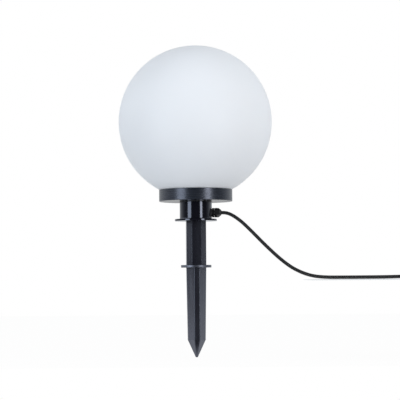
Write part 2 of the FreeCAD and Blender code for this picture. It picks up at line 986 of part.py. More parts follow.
def make_holder_body():
    outer, wall = "holder_diameter / 2", "holder_wall"
    return turned(
        "lampholder_body",
        [
            ("nipple_diameter / 2 + nipple_clearance", "plate_top"),
            (f"{outer} - 7", "plate_top"),
            (f"{outer} - 1", "plate_top + 9"),
            (outer, "plate_top + 12"),
            (outer, "holder_top - 1"),
            (f"{outer} - 1", "holder_top"),
            (f"{outer} - {wall}", "holder_top"),
            (f"{outer} - {wall}", "plate_top + 12"),
            (f"{outer} - {wall} - 5", "plate_top + holder_base"),
            ("nipple_diameter / 2 + nipple_clearance", "plate_top + holder_base"),
        ],
    )


def make_holder_insert():
    """The carrier of the contacts, with two wire holes and a step round the screw shell."""
    low = "insert_bottom - 1"
    disc = cylinder(
        "insert_disc",
        "holder_diameter / 2 - holder_wall - insert_clearance",
        "insert_height",
        "insert_bottom",
    )
    spots = [("contact_spacing / 2", "0"), ("-contact_spacing / 2", "0")]
    holes = hole_row("insert_wire_holes", spots, "wire_diameter / 2 + 0.3", low, "5")
    rivet = cylinder("insert_rivet_hole", "rivet_diameter / 2 + fit_gap", "insert_height + 2", low)
    return label(cut("insert_cut", disc, fuse("insert_tools", [holes, rivet])), "holder_insert")


def make_screw_shell():
    outer = "shell_inner + shell_wall"
    return turned(
        "screw_shell",
        [
            ("shell_inner - 2.5", "insert_top"),
            (outer, "insert_top"),
            (outer, "insert_top + shell_length"),
            ("shell_inner", "insert_top + shell_length"),
            ("shell_inner", "insert_top + shell_wall"),
            ("shell_inner - 2.5", "insert_top + shell_wall"),
        ],
    )


def make_centre_contact():
    """A sprung tongue on a rivet in the carrier's middle."""
    tongue = turned(
        "centre_contact",
        [
            ("0", "insert_bottom + 1"),
            ("rivet_diameter / 2", "insert_bottom + 1"),
            ("rivet_diameter / 2", "insert_top"),
            ("contact_radius", "insert_top"),
            ("contact_radius", "insert_top + contact_thickness"),
            ("contact_crown", "contact_top"),
            ("0", "contact_top"),
        ],
    )
    return tongue


# The bulb

BULB_RIDGE_TURNS = 3.5


def make_bulb_cap():
    outer, wall = "cap_sleeve", "bulb_cap_wall"
    sleeve = doc.addObject("PartDesign::Body", "cap_sleeve")
    revolve(
        sleeve,
        [
            ("bulb_cap_mouth", "cap_bottom"),
            (outer, "cap_bottom + bulb_cap_slope"),
            (outer, "cap_top"),
            (f"{outer} - {wall}", "cap_top"),
            (f"{outer} - {wall}", "cap_bottom + bulb_cap_slope + 0.4"),
            ("bulb_cap_mouth", f"cap_bottom + {wall}"),
        ],
    )
    ridge = ready_shape(
        "cap_ridge",
        thread_ridge(
            at("cap_sleeve"),
            at("bulb_cap_ridge"),
            at("bulb_ridge_width"),
            at("bulb_thread_pitch"),
            BULB_RIDGE_TURNS,
            at("cap_bottom") + at("bulb_ridge_start"),
        ),
    )
    return label(fuse("cap_with_thread", [sleeve, ridge], refine=False), "bulb_cap")


def make_bulb_insulator():
    low = "foot_bottom + bulb_foot_height"
    return turned(
        "bulb_insulator",
        [
            ("0", low),
            ("bulb_foot_diameter / 2", low),
            ("bulb_insulator_radius", "cap_bottom"),
            ("bulb_cap_mouth - 0.1", "cap_bottom"),
            ("bulb_cap_mouth - 0.1", "cap_bottom + bulb_insulator_root"),
            ("0", "cap_bottom + bulb_insulator_root"),
        ],
    )


def make_bulb_foot():
    return turned(
        "bulb_foot_contact",
        [
            ("0", "foot_bottom"),
            ("bulb_foot_diameter / 2 - 1.6", "foot_bottom"),
            ("bulb_foot_diameter / 2", "foot_bottom + 1"),
            ("bulb_foot_diameter / 2", "foot_bottom + bulb_foot_height - 0.3"),
            ("0", "foot_bottom + bulb_foot_height - 0.3"),
        ],
    )


def make_bulb_housing():
    wall, start = "bulb_housing_wall", "cap_top - bulb_housing_insert"
    shoulder = "cap_top + bulb_housing_length * 0.3"
    return turned(
        "bulb_housing",
        [
            ("housing_bore", start),
            ("housing_neck", start),
            ("housing_neck", "cap_top"),
            ("cap_radius + 1", "cap_top"),
            ("cap_radius + 2.4", shoulder),
            ("housing_rim", "housing_top"),
            (f"housing_rim - {wall}", "housing_top"),
            (f"cap_radius + 2.4 - {wall}", f"{shoulder} + 1"),
            ("housing_bore", "cap_top + 2"),
        ],
    )


def make_bulb_glass():
    """A dome that stands on the housing's rim."""
    ball = "bulb_radius"
    centre = "housing_top + bulb_glass_height - bulb_radius"
    outside = primitive(
        "Part::Sphere", "glass_ball", Radius=ball, Placement__Base__z=centre
    )
    hollow = primitive(
        "Part::Sphere", "glass_hollow", Radius=f"{ball} - bulb_glass_wall",
        Placement__Base__z=centre,
    )
    below = cylinder("glass_below", "bulb_diameter", "bulb_diameter", "housing_top - bulb_diameter")
    tools = fuse("glass_tools", [hollow, below])
    return label(cut("glass_cut", outside, tools), "bulb_glass")


def make_bulb_plate():
    """The plate that carries the light sources, set into the housing's rim."""
    return label(
        cylinder(
            "bulb_light_plate",
            "housing_rim - bulb_housing_wall - 1.4",
            "bulb_plate_thickness",
            "plate_bottom",
        ),
        "bulb_light_plate",
    )


CHIP_RINGS = (("chip_ring_inner", 5), ("chip_ring_outer", 10))


def make_light_chips():
    chip = primitive(
        "Part::Box", "light_chip", Length="chip_width", Width="chip_width", Height="chip_height"
    )
    half = at("chip_width") / 2
    top = at("plate_bottom") + at("bulb_plate_thickness")
    spots = []
    for ring, count in CHIP_RINGS:
        for i in range(count):
            turn = Rotation(Vector(0, 0, 1), 360 * i / count)
            place = turn * Vector(at(ring) - half, -half, 0) + Vector(0, 0, top)
            spots.append(Placement(place, turn))
    copies("light_chips", chip, spots)


def make_driver_board():
    wide = "(housing_bore * 2 - 0.4)"
    board = primitive(
        "Part::Box",
        "bulb_driver_board",
        Length=wide,
        Width="board_thickness",
        Height="plate_bottom - cap_top + 4",
        Placement__Base__x=f"-{wide} / 2",
        Placement__Base__y="-board_thickness / 2",
        Placement__Base__z="cap_top - 4",
    )
    return label(board, "bulb_driver_board")


# The cable gland, made along +Z and then laid down to point out of the socket body


def gland_piece(item, name):
    return lay_down(label(item, name))


def make_gland_ring():
    low, through = "gland_seat - 1", "gland_ring_thickness + 2"
    bore = cylinder("ring_bore", "gland_thread / 2 + 0.1", through, low)
    disc = cylinder("ring_disc", "gland_flats / 2 - 0.5", "gland_ring_thickness", "gland_seat")
    gland_piece(cut("ring_cut", disc, bore), "gland_seal_ring")


def make_gland_body():
    hexes = hexagon("gland_hex", "gland_flats", "gland_hex_height", "gland_hex_start")
    stem = cylinder(
        "gland_stem",
        "gland_thread / 2",
        "gland_stem_end - gland_hex_start + gland_inner_length",
        "gland_hex_start - gland_inner_length",
    )
    bore = cylinder("gland_bore", "cable_radius + 0.4", "40", "gland_seat - 20")
    cup = cylinder(
        "gland_cup",
        "gland_insert_diameter / 2 + fit_gap",
        "gland_insert_length + 1",
        "gland_stem_end - gland_insert_length",
    )
    tools = fuse("gland_body_tools", [bore, cup])
    gland_piece(cut("gland_body_cut", fuse("gland_body_solid", [hexes, stem]), tools), "gland_body")


def make_gland_insert():
    bore = cylinder("insert_bore", "cable_radius + fit_gap", "30", "gland_seat")
    plug = cylinder(
        "insert_plug",
        "gland_insert_diameter / 2",
        "gland_insert_length + 0.5",
        "gland_stem_end - gland_insert_length",
    )
    gland_piece(cut("seal_insert_cut", plug, bore), "gland_insert")


def make_gland_washer():
    start = "gland_stem_end + 0.5 + gland_clearance"
    bore = cylinder("washer_bore", "cable_radius + gland_clearance", "20", f"{start} - 5")
    disc = cylinder("washer_disc", "gland_thread / 2 - 0.2", "gland_washer_thickness", start)
    gland_piece(cut("washer_cut", disc, bore), "gland_washer")


def nut_dome():
    """The domed outside of the gland's nut, as a turned shape."""
    body = doc.addObject("PartDesign::Body", "nut_dome")
    outer = "gland_flats / sqrt(3)"
    revolve(
        body,
        [
            ("0", "gland_nut_start"),
            (f"{outer} - 0.4", "gland_nut_start"),
            (outer, "gland_nut_start + 0.4"),
            (outer, "gland_nut_end - gland_nut_taper - gland_nut_shoulder"),
            (f"{outer} - gland_nut_drop", "gland_nut_end - gland_nut_taper"),
            ("gland_nut_mouth / 2", "gland_nut_end"),
            ("0", "gland_nut_end"),
        ],
    )
    return body


def make_gland_nut():
    hexes = hexagon("nut_hex", "gland_flats", "gland_nut_length", "gland_nut_start")
    solid = doc.addObject("Part::MultiCommon", "nut_solid")
    solid.Shapes = [hexes, nut_dome()]
    thread = cylinder(
        "nut_thread",
        "gland_thread / 2 + gland_clearance",
        "gland_stem_end - gland_nut_start + gland_washer_thickness + 3 + 2 * gland_clearance",
        "gland_nut_start - 1",
    )
    mouth = cylinder("nut_mouth", "cable_radius + gland_clearance + 0.15", "30", "gland_nut_start")
    gland_piece(cut("nut_cut", solid, fuse("nut_tools", [thread, mouth])), "gland_nut")


def make_lock_nut():
    far = "sqrt(socket_bore ^ 2 - (lock_nut_flats / sqrt(3)) ^ 2) - 0.1"
    hexes = hexagon("lock_hex", "lock_nut_flats", "lock_nut_height", f"{far} - lock_nut_height")
    bore = cylinder("lock_bore", "gland_thread / 2 + fit_gap", "30", "gland_seat - 20")
    gland_piece(cut("lock_cut", hexes, bore), "gland_lock_nut")


# The terminal block in the socket body


def block_axes():
    return [f"{way}block_pitch / 2" for way in ("", "-")]


def along_x(name, radius, length, y):
    """A cylinder along X in the block, at the height of its brass tubes."""
    item = primitive("Part::Cylinder", name, Radius=radius, Height=length)
    item.Placement = Placement(Vector(), Rotation(Vector(0, 1, 0), 90))
    bind(item, Placement__Base__x=f"-({length}) / 2", Placement__Base__y=y)
    return bind(item, Placement__Base__z="block_level")


def block_wells(name, radius, low, length):
    spots = [
        (f"{way}block_screw_spacing / 2", y) for way in ("", "-") for y in block_axes()
    ]
    return hole_row(name, spots, radius, low, length)


def make_block():
    block = primitive(
        "Part::Box",
        "block_box",
        Length="block_length",
        Width="block_width",
        Height="block_height",
        Placement__Base__x="-block_length / 2",
        Placement__Base__y="-block_width / 2",
        Placement__Base__z="socket_floor",
    )
    bores = [
        along_x(f"block_bore_{i}", "block_tube / 2 + fit_gap", "block_length + 2", y)
        for i, y in enumerate(block_axes())
    ]
    wells = block_wells("block_wells", "block_screw / 2 + 0.2", "block_level", "20")
    tools = fuse("block_tools", [*bores, wells])
    label(cut("block_cut", block, tools), "terminal_block")


def make_block_tubes():
    """The brass tubes that the cores are clamped in."""
    tubes = []
    for i, y in enumerate(block_axes()):
        outside = along_x(f"tube_outside_{i}", "block_tube / 2", "block_length - 2", y)
        inside = along_x(
            f"tube_inside_{i}", "block_tube / 2 - block_tube_wall", "block_length", y
        )
        tubes.append(cut(f"tube_{i}", outside, inside))
    wells = block_wells("tube_wells", "block_screw / 2 + fit_gap", "block_level", "20")
    label(cut("tubes_cut", group("tube_pair", tubes), wells), "terminal_tubes")


def make_block_screws():
    low = "block_level + wire_diameter / 2 + fit_gap"
    shank = cylinder("block_screw_shank", "block_screw / 2", "5.4")
    slot = primitive(
        "Part::Box",
        "block_screw_slot",
        Length="block_screw * 2",
        Width="0.5",
        Height="1",
        Placement__Base__x="-block_screw",
        Placement__Base__y="-0.25",
        Placement__Base__z="4.8",
    )
    one = cut("block_screw_cut", shank, slot)
    spots = []
    for x in (1, -1):
        for y in (1, -1):
            where = Vector(x * at("block_screw_spacing") / 2, y * at("block_pitch") / 2, 0)
            spots.append(Placement(where + Vector(0, 0, value_of(low)), Rotation()))
    copies("terminal_screws", one, spots)


# The cable's tube


def tangent_arcs(points):
    """Edges of straight runs joined by arcs that take 0.45 of each corner's shorter run,
    with the arcs' radii."""
    edges, radii, last = [], [], points[0]
    for before, here, after in zip(points, points[1:], points[2:]):
        run_in, run_out = here - before, after - here
        half = run_in.getAngle(run_out) / 2
        reach = 0.45 * min(run_in.Length, run_out.Length)
        radius = reach / math.tan(half)
        start = here - run_in.normalize() * reach
        end = here + run_out.normalize() * reach
        centre_way = (run_out - run_in).normalize()
        middle = here + centre_way * (radius / math.cos(half) - radius)
        edges.append(Part.LineSegment(last, start).toShape())
        edges.append(Part.Arc(start, middle, end).toShape())
        radii.append(radius)
        last = end
    edges.append(Part.LineSegment(last, points[-1]).toShape())
    return edges, radii


def pipe(edges, radius):
    wire = Part.Wire(edges)
    start = wire.OrderedVertexes[0].Point
    along = edges[0].tangentAt(edges[0].FirstParameter)
    section = Part.Wire([Part.makeCircle(radius, start, along)])
    return wire.makePipeShell([section], True, False), wire


def tell_tube(name, solid, wire, radius, radii):
    expected = math.pi * radius**2 * wire.Length
    print(
        f"{name}: {wire.Length:.0f} mm long, volume {solid.Volume / expected:.4f} of section"
        f" times length, arcs of {min(radii):.1f} mm and more"
    )


def gland_point(along, side=0.0):
    """A place given along the gland's axis, out from the lamp's axis."""
    return Vector(along, side, at("gland_axis"))


def make_cable():
    radius = at("cable_radius")
    start = Rotation(Vector(0, 0, 1), at("gland_turn")) * gland_point(at("gland_nut_end"))
    end = Vector(at("coil_x") - at("cable_diameter"), 0, at("coil_level"))
    points = [start, *[Vector(*p) for p in CABLE_ROUTE], end]
    edges, radii = tangent_arcs(points)
    solid, wire = pipe(edges, radius)
    print("cable radii", [round(r) for r in radii])
    tell_tube("cable", solid, wire, radius, radii)
    label(ready_shape("cable", solid), "cable")


def make_cable_tail():
    """The sheathed end of the cable inside the gland."""
    start, end = gland_point(at("cable_tail_length")), gland_point(at("gland_nut_end"))
    solid = Part.makeCylinder(at("cable_radius"), (end - start).Length, start, end - start)
    label(ready_shape("cable_tail", solid), "cable_tail")


def wire_tube(name, points):
    edges, radii = tangent_arcs([Vector(*p) for p in points])
    radius = at("wire_diameter") / 2
    solid, wire = pipe(edges, radius)
    tell_tube(name, solid, wire, radius, radii)
    label(ready_shape(name, solid), name)


def make_wires():
    """Two cores from the cable's end to the block, and two leads from it to the lampholder."""
    block_x, level = at("block_length") / 2, at("block_level")
    inside = at("wire_end")
    for core, lead, side in (("core_live", "lead_live", 1), ("core_neutral", "lead_neutral", -1)):
        y = side * at("block_pitch") / 2
        near = side * at("wire_spread")
        tail = at("cable_tail_length")
        wire_tube(
            core,
            [
                gland_point(tail, near),
                gland_point(tail - inside, near),
                (block_x + 0.6 * inside, y, level),
                (block_x - inside, y, level),
            ],
        )
        wire_tube(lead, [(inside - block_x, y, level), *lead_route(-block_x, y, near, side)])


def lead_route(block_end, y, near, side):
    """A lead's way from the block's far end, in a bow and up through the nipple, and then
    out to its hole in the contact carrier."""
    bow, base, carrier = at("lead_bow"), at("floor_top"), at("insert_bottom")
    contact = side * at("contact_spacing") / 2
    return [
        (block_end - 0.75 * bow, y, at("block_level")),
        (block_end - bow, y * 0.9, at("block_level") + at("lead_rise")),
        (-bow * 2 / 3, near, base - at("lead_bend_low")),
        (0.0, near, base - at("lead_bend_high")),
        (0.0, near, at("plate_top") + at("lead_fork")),
        (contact, 0.0, carrier - at("wire_end")),
        (contact, 0.0, carrier + at("wire_end")),
    ]


# The coil


def smooth_step(x):
    x = min(max(x, 0.0), 1.0)
    return x * x * (3 - 2 * x)


LAYERS = 4
TAIL_TURNS = 1.25


def coil_point(turns):
    """A point of the coil's middle line after a number of turns from its outer start.

    The radius falls and rises again at a steady rate, once for each layer, and the height
    climbs a layer in the half turn about each place where it turns back."""
    pitch, per_layer = at("coil_pitch"), at("coil_layer_turns")
    wound = LAYERS * per_layer
    t = min(turns, wound)
    layer = int(t // per_layer)
    share = t - layer * per_layer
    inward = share if layer % 2 == 0 else per_layer - share
    if layer >= LAYERS:
        inward = 0.0
    radius = at("coil_outer") - pitch * inward
    level = sum(smooth_step((t - per_layer * k) * 2 + 0.5) for k in range(1, LAYERS)) * pitch
    height = at("coil_level") + level
    extra = max(turns - wound, 0.0)
    radius += pitch * min(2 * extra, 1.0)
    radius += at("plug_offset") * smooth_step((extra - 0.75) * 2)
    drop = height - at("plug_level")
    height -= drop * smooth_step((extra - 0.25) * 2)
    angle = math.radians(90 - 360 * turns)
    centre = Vector(at("coil_x"), -at("coil_outer"), 0)
    return centre + Vector(radius * math.cos(angle), radius * math.sin(angle), height)


def coil_way(turns, total):
    """The direction of the coil's line, level and square to the radius at its ends and
    where it turns back."""
    step = 1e-4
    way = coil_point(min(turns + step, total)) - coil_point(max(turns - step, 0))
    if turns in (0, total):
        angle = math.radians(90 - 360 * turns)
        way = Vector(math.sin(angle), -math.cos(angle), 0)
    return way.normalize()


def arc_edge(start, way, end):
    """The arc that leaves start along way and ends at end."""
    chord = end - start
    half = way.getAngle(chord)
    across = chord - way * chord.dot(way)
    side = chord.cross(across).cross(chord).normalize()
    rise = chord.Length / 2 * math.tan(half / 2)
    middle = start + chord * 0.5 - side * rise
    return Part.Arc(start, middle, end).toShape()


def biarc(a, way_a, b, way_b):
    """Two arcs that meet smoothly and join two places with their directions."""
    between, ways = b - a, way_a + way_b
    turn = 2 * (1 - way_a.dot(way_b))
    lead = -between.dot(ways)
    reach = (lead + math.sqrt(lead**2 + turn * between.dot(between))) / turn
    middle = (a + b + (way_a - way_b) * reach) * 0.5
    first = arc_edge(a, way_a, middle)
    second = arc_edge(b, way_b * -1, middle)
    return [first, second]


def coil_edges():
    pitch = at("cable_diameter")
    total = LAYERS * at("coil_layer_turns") + TAIL_TURNS
    steps = round(total * 4)
    marks = [total * i / steps for i in range(steps + 1)]
    spots = [coil_point(t) for t in marks]
    ways = [coil_way(t, total) for t in marks]
    edges = [Part.LineSegment(spots[0] - ways[0] * pitch, spots[0]).toShape()]
    for a, way_a, b, way_b in zip(spots, ways, spots[1:], ways[1:]):
        edges += biarc(a, way_a, b, way_b)
    edges.append(Part.LineSegment(spots[-1], spots[-1] + ways[-1] * pitch).toShape())
    return edges, spots[-1] + ways[-1] * pitch, ways[-1]


def least_gap(wire, diameter):
    """The least distance between the tube's surface and itself, on points along it."""
    count = round(wire.Length / 1.5)
    points = wire.discretize(Number=count)
    step = wire.Length / (count - 1)
    skip = math.ceil(6 * diameter / step)
    cells, size = {}, 3 * diameter
    for i, p in enumerate(points):
        key = (round(p.x // size), round(p.y // size), round(p.z // size))
        cells.setdefault(key, []).append(i)
    least = size
    around_cell = [(a, b, c) for a in (-1, 0, 1) for b in (-1, 0, 1) for c in (-1, 0, 1)]
    for key, members in cells.items():
        near = [
            j
            for shift in around_cell
            for j in cells.get(tuple(k + d for k, d in zip(key, shift)), [])
        ]
        for i in members:
            for j in near:
                if j - i > skip:
                    least = min(least, (points[i] - points[j]).Length)
    return least - diameter


def make_coil():
    edges, end, way = coil_edges()
    radius = at("cable_radius")
    solid, wire = pipe(edges, radius)
    gap = least_gap(wire, at("cable_diameter"))
    radii = [e.Curve.Radius for e in edges if hasattr(e.Curve, "Radius")]
    tell_tube("coil", solid, wire, radius, radii)
    print(f"coil: least gap to itself {gap:.2f} mm")
    label(ready_shape("cable_coil", solid), "cable_coil")
    return end, way


def make_tie():
    """A strap round the coil's turns, in the plane through the coil's axis."""
    gap, thick = at("tie_clearance"), at("tie_thickness")
    radius, pitch = at("cable_radius"), at("coil_pitch")
    wide = at("tie_width")
    inner = at("coil_outer") - at("coil_layer_turns") * pitch - radius
    low = math.sqrt(inner**2 - (wide / 2) ** 2) - gap
    high = at("coil_outer") + pitch + radius + gap
    bottom = at("coil_lift") - gap
    top = at("coil_level") + (LAYERS - 1) * pitch + radius + gap
    inside = Part.makeBox(high - low, wide + 2, top - bottom, Vector(low, -wide / 2 - 1, bottom))
    outside = Part.makeBox(
        high - low + 2 * thick,
        wide,
        top - bottom + 2 * thick,
        Vector(low - thick, -wide / 2, bottom - thick),
    )
    inside = round_long_edges(inside, radius)
    outside = round_long_edges(outside, radius + thick)
    band = outside.cut(inside)
    item = label(ready_shape("coil_tie", band), "coil_tie")
    centre = Vector(at("coil_x"), -at("coil_outer"), 0)
    item.Placement = Placement(centre, Rotation(Vector(0, 0, 1), at("tie_turn")))


def round_long_edges(box, radius):
    """Rounds the four edges of a box that run along Y."""
    edges = [e for e in box.Edges if abs(e.tangentAt(0).y) > 0.9]
    return box.makeFillet(radius, edges)


# The plug on the coil's end, made along +Z and then laid down


def lay_plug(item, name, end, way):
    label(item, name)
    level = Rotation(Vector(0, 0, 1), way)
    item.Placement = Placement(end, level)
    return item


RELIEF_GROOVES = (0.12, 0.29, 0.46, 0.63, 0.8)


def make_relief(end, way):
    body = doc.addObject("PartDesign::Body", "relief_cone")
    revolve(
        body,
        [
            ("0", "0"),
            ("relief_end / 2", "0"),
            ("relief_root / 2", "relief_length"),
            ("0", "relief_length"),
        ],
    )
    grooves = []
    for i, share in enumerate(RELIEF_GROOVES):
        level = f"relief_length * {share}"
        ring = cylinder(f"relief_ring_{i}", "relief_root", "relief_groove", level)
        core = cylinder(
            f"relief_core_{i}",
            f"relief_end / 2 + (relief_root - relief_end) / 2 * {share} - 1",
            "relief_groove + 2",
            f"{level} - 1",
        )
        grooves.append(cut(f"relief_groove_{i}", ring, core))
    tools = fuse("relief_grooves", grooves)
    lay_plug(cut("relief_cut", body, tools), "plug_strain_relief", end, way)


def plug_section(scale):
    """A rounded outline, flat at its two long sides."""
    wide, thick = at("plug_width") / 2 * scale, at("plug_thickness") / 2 * scale
    flat = math.sqrt(wide**2 - thick**2)
    corners = [
        Vector(flat, thick, 0),
        Vector(-flat, thick, 0),
        Vector(-flat, -thick, 0),
        Vector(flat, -thick, 0),
    ]
    return Part.Wire(
        [
            Part.LineSegment(corners[0], corners[1]).toShape(),
            Part.Arc(corners[1], Vector(-wide, 0, 0), corners[2]).toShape(),
            Part.LineSegment(corners[2], corners[3]).toShape(),
            Part.Arc(corners[3], Vector(wide, 0, 0), corners[0]).toShape(),
        ]
    )


def make_plug(end, way):
    """The moulded body widens from the strain relief to its front face."""
    start = at("relief_length")
    small = plug_section(0.62)
    small.translate(Vector(0, 0, start))
    large = plug_section(1.0)
    large.translate(Vector(0, 0, start + at("plug_nose")))
    shoulder = Part.makeLoft([small, large], True, True)
    block = Part.Face(large).extrude(Vector(0, 0, at("plug_length") - at("plug_nose")))
    body = ready_shape("plug_moulding", shoulder.fuse(block).removeSplitter())
    lay_plug(body, "plug_body", end, way)
    face = start + at("plug_length")
    pins = []
    for side in (-1, 1):
        place = Vector(side * at("pin_spacing") / 2, 0, face)
        pin = Part.makeCylinder(at("pin_diameter") / 2, at("pin_length"), place)
        pins.append(pin.makeFillet(at("pin_edge"), [pin.Edges[0]]))
    lay_plug(ready_shape("plug_pin_pair", Part.Compound(pins)), "plug_pins", end, way)


# Checks and files


def check_document():
    doc.recompute()
    bad = [o.Name for o in doc.Objects if {"Invalid", "Error"} & set(o.State)]
    if bad:
        raise RuntimeError(f"objects that failed: {bad}")
    for item in NODES:
        shape = item.Shape
        if shape.isNull() or not shape.isValid() or not shape.Solids:
            bad.append(item.Label)
    if bad:
        raise RuntimeError(f"pieces with no sound shape: {bad}")


def write_parts():
    os.makedirs("parts", exist_ok=True)
    for item in NODES:
        item.Shape.exportStep(f"parts/{item.Label}.step")
        print(f"{item.Label}: {len(item.Shape.Solids)} solid, {item.Shape.Volume / 1000:.2f} cm3")


def make_turned(makers, turn):
    """Makes pieces and then turns them together about the lamp's axis."""
    first = len(NODES)
    for make in makers:
        make()
    doc.recompute()
    spin = Placement(Vector(), Rotation(Vector(0, 0, 1), at(turn)))
    for item in NODES[first:]:
        item.Placement = spin.multiply(item.Placement)


HEAD = [
    make_globe,
    make_globe_seal,
    make_collar,
    make_gasket,
    make_socket_body,
    make_head_screws,
    make_bracket,
    make_nipple,
    make_nipple_nuts,
    make_holder_body,
    make_holder_insert,
    make_screw_shell,
    make_centre_contact,
    make_gland_ring,
    make_gland_body,
    make_lock_nut,
    make_gland_insert,
    make_gland_washer,
    make_gland_nut,
    make_block,
    make_block_tubes,
    make_block_screws,
    make_cable_tail,
    make_wires,
]
BULB = [
    make_bulb_foot,
    make_bulb_insulator,
    make_bulb_cap,
    make_bulb_housing,
    make_driver_board,
    make_bulb_plate,
    make_light_chips,
    make_bulb_glass,
]


def main():
    make_turned(HEAD, "gland_turn")
    for make in BULB:
        make()
    make_turned([make_post, make_post_screws, make_spike], "post_turn")
    make_cable()
    end, way = make_coil()
    make_tie()
    make_relief(end, way)
    make_plug(end, way)
    check_document()
    write_parts()


main()
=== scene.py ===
import math

import bmesh
import bpy
from mathutils import Matrix, Vector


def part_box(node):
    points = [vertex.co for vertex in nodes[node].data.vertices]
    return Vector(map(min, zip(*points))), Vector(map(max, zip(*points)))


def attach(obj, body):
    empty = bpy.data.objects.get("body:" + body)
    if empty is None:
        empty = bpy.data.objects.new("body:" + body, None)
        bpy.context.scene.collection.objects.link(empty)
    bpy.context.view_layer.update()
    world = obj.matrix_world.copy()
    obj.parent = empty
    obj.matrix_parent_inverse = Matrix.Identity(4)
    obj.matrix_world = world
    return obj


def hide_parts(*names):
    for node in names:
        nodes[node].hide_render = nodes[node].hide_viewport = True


# A garden globe light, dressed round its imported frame. Metres, +Z up on the lamp's axis, the
# origin at the ground's level, +X to the lead's side and -Y to the front.

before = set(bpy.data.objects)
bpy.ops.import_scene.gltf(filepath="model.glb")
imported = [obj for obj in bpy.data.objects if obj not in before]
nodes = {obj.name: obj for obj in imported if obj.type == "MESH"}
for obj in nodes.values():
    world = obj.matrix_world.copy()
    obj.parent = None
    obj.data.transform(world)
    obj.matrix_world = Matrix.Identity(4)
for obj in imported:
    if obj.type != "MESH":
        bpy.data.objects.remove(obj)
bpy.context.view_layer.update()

# The camera, from places in the photograph's 400 x 400 pixels
PHOTO = 400
METRES_PER_PIXEL = 0.001953
AXIS_PIXEL = 195.75
GROUND_PIXEL = 279.9
CAMERA_DISTANCE = 2.71
CAMERA_HEIGHT = 0.0065
CAMERA_ROLL = math.radians(-0.4)


def make_camera():
    data = bpy.data.cameras.new("camera")
    half_view = PHOTO / 2 * METRES_PER_PIXEL
    data.angle = 2 * math.atan(half_view / CAMERA_DISTANCE)
    camera = bpy.data.objects.new("camera", data)
    bpy.context.collection.objects.link(camera)
    across = (PHOTO / 2 - AXIS_PIXEL) * METRES_PER_PIXEL
    aim = Vector((across, 0, (GROUND_PIXEL - PHOTO / 2) * METRES_PER_PIXEL))
    camera.location = (across, -CAMERA_DISTANCE, CAMERA_HEIGHT)
    way = (aim - camera.location).to_track_quat("-Z", "Y")
    camera.rotation_euler = (way.to_matrix() @ Matrix.Rotation(CAMERA_ROLL, 3, "Z")).to_euler()
    bpy.context.scene.camera = camera


# Helpers for shapes


def smooth_step(x):
    x = min(max(x, 0.0), 1.0)
    return x * x * (3 - 2 * x)


def new_mesh(name, build, material, smooth=False):
    """An object whose mesh the function build makes in a bmesh."""
    data = bpy.data.meshes.new(name)
    mesh = bmesh.new()
    build(mesh)
    mesh.to_mesh(data)
    mesh.free()
    for face in data.polygons:
        face.use_smooth = smooth
    data.materials.append(material)
    made = bpy.data.objects.new(name, data)
    bpy.context.collection.objects.link(made)
    return made


def skin(mesh, rings):
    """Faces between closed rings of equal count, and a cap on each end."""
    rows = [[mesh.verts.new(point) for point in ring] for ring in rings]
    for first, second in zip(rows, rows[1:]):
        for i in range(len(first)):
            j = (i + 1) % len(first)
            mesh.faces.new((first[i], first[j], second[j], second[i]))
    mesh.faces.new(rows[0][::-1])
    mesh.faces.new(rows[-1])
    bmesh.ops.recalc_face_normals(mesh, faces=mesh.faces)


# The lead: the chosen route from the gland to the coil, then the coil and its tail
CABLE_DIAMETER = 0.0068
GLAND_EXIT = (0.05, 0.0, 0.131)
CABLE_ROUTE = [
    (0.0566, 0.0, 0.1310),
    (0.0634, 0.0, 0.1295),
    (0.0708, -0.0003, 0.1262),
    (0.0808, -0.0012, 0.1197),
    (0.0932, -0.0028, 0.1096),
    (0.1126, -0.0058, 0.0900),
    (0.1355, -0.0094, 0.0660),
    (0.1623, -0.0124, 0.0405),
    (0.1876, -0.0140, 0.0210),
    (0.2164, -0.0142, 0.0082),
    (0.2440, -0.0124, 0.0036),
    (0.2890, -0.0080, 0.0034),
    (0.3350, -0.0042, 0.0034),
    (0.3820, -0.0014, 0.0036),
    (0.4290, 0.0, 0.0050),
    (0.4720, 0.0, 0.0050),
]
COIL_X = 0.4788
COIL_PITCH = 0.0074
COIL_MIDDLE = 0.083
COIL_LEVEL = 0.0050
LAYERS = 4
LAYER_TURNS = 3.75
TAIL_TURNS = 1.25
CHANGE_TURNS = 0.5
DROP_START, SWING_START = 0.25, 0.75
PLUG_LEVEL = 0.013
PLUG_OFFSET = 0.014
POINTS_PER_TURN = 24


def coil_point(turns):
    """A point of the coil, wound in and out again layer by layer, and then of its tail."""
    outer = COIL_MIDDLE / 2 + LAYER_TURNS * COIL_PITCH / 2
    wound = LAYERS * LAYER_TURNS
    t = min(turns, wound)
    layer = int(t // LAYER_TURNS)
    share = t - layer * LAYER_TURNS
    inward = share if layer % 2 == 0 else LAYER_TURNS - share
    if layer >= LAYERS:
        inward = 0.0
    radius = outer - COIL_PITCH * inward
    climbs = [smooth_step((t - LAYER_TURNS * k) / CHANGE_TURNS + 0.5) for k in range(1, LAYERS)]
    height = COIL_LEVEL + sum(climbs) * COIL_PITCH
    extra = max(turns - wound, 0.0)
    radius += COIL_PITCH * min(extra / CHANGE_TURNS, 1.0)
    radius += PLUG_OFFSET * smooth_step((extra - SWING_START) / CHANGE_TURNS)
    height -= (height - PLUG_LEVEL) * smooth_step((extra - DROP_START) / CHANGE_TURNS)
    angle = math.radians(90 - 360 * turns)
    across, along = radius * math.cos(angle), radius * math.sin(angle)
    return Vector((COIL_X + across, along - outer, height))


def cord_points():
    total = LAYERS * LAYER_TURNS + TAIL_TURNS
    count = round(total * POINTS_PER_TURN)
    coil = [coil_point(total * i / count) for i in range(count + 1)]
    end = coil[-1] + Vector((0, -CABLE_DIAMETER, 0))
    return [Vector(GLAND_EXIT), *map(Vector, CABLE_ROUTE), *coil[1:], end]


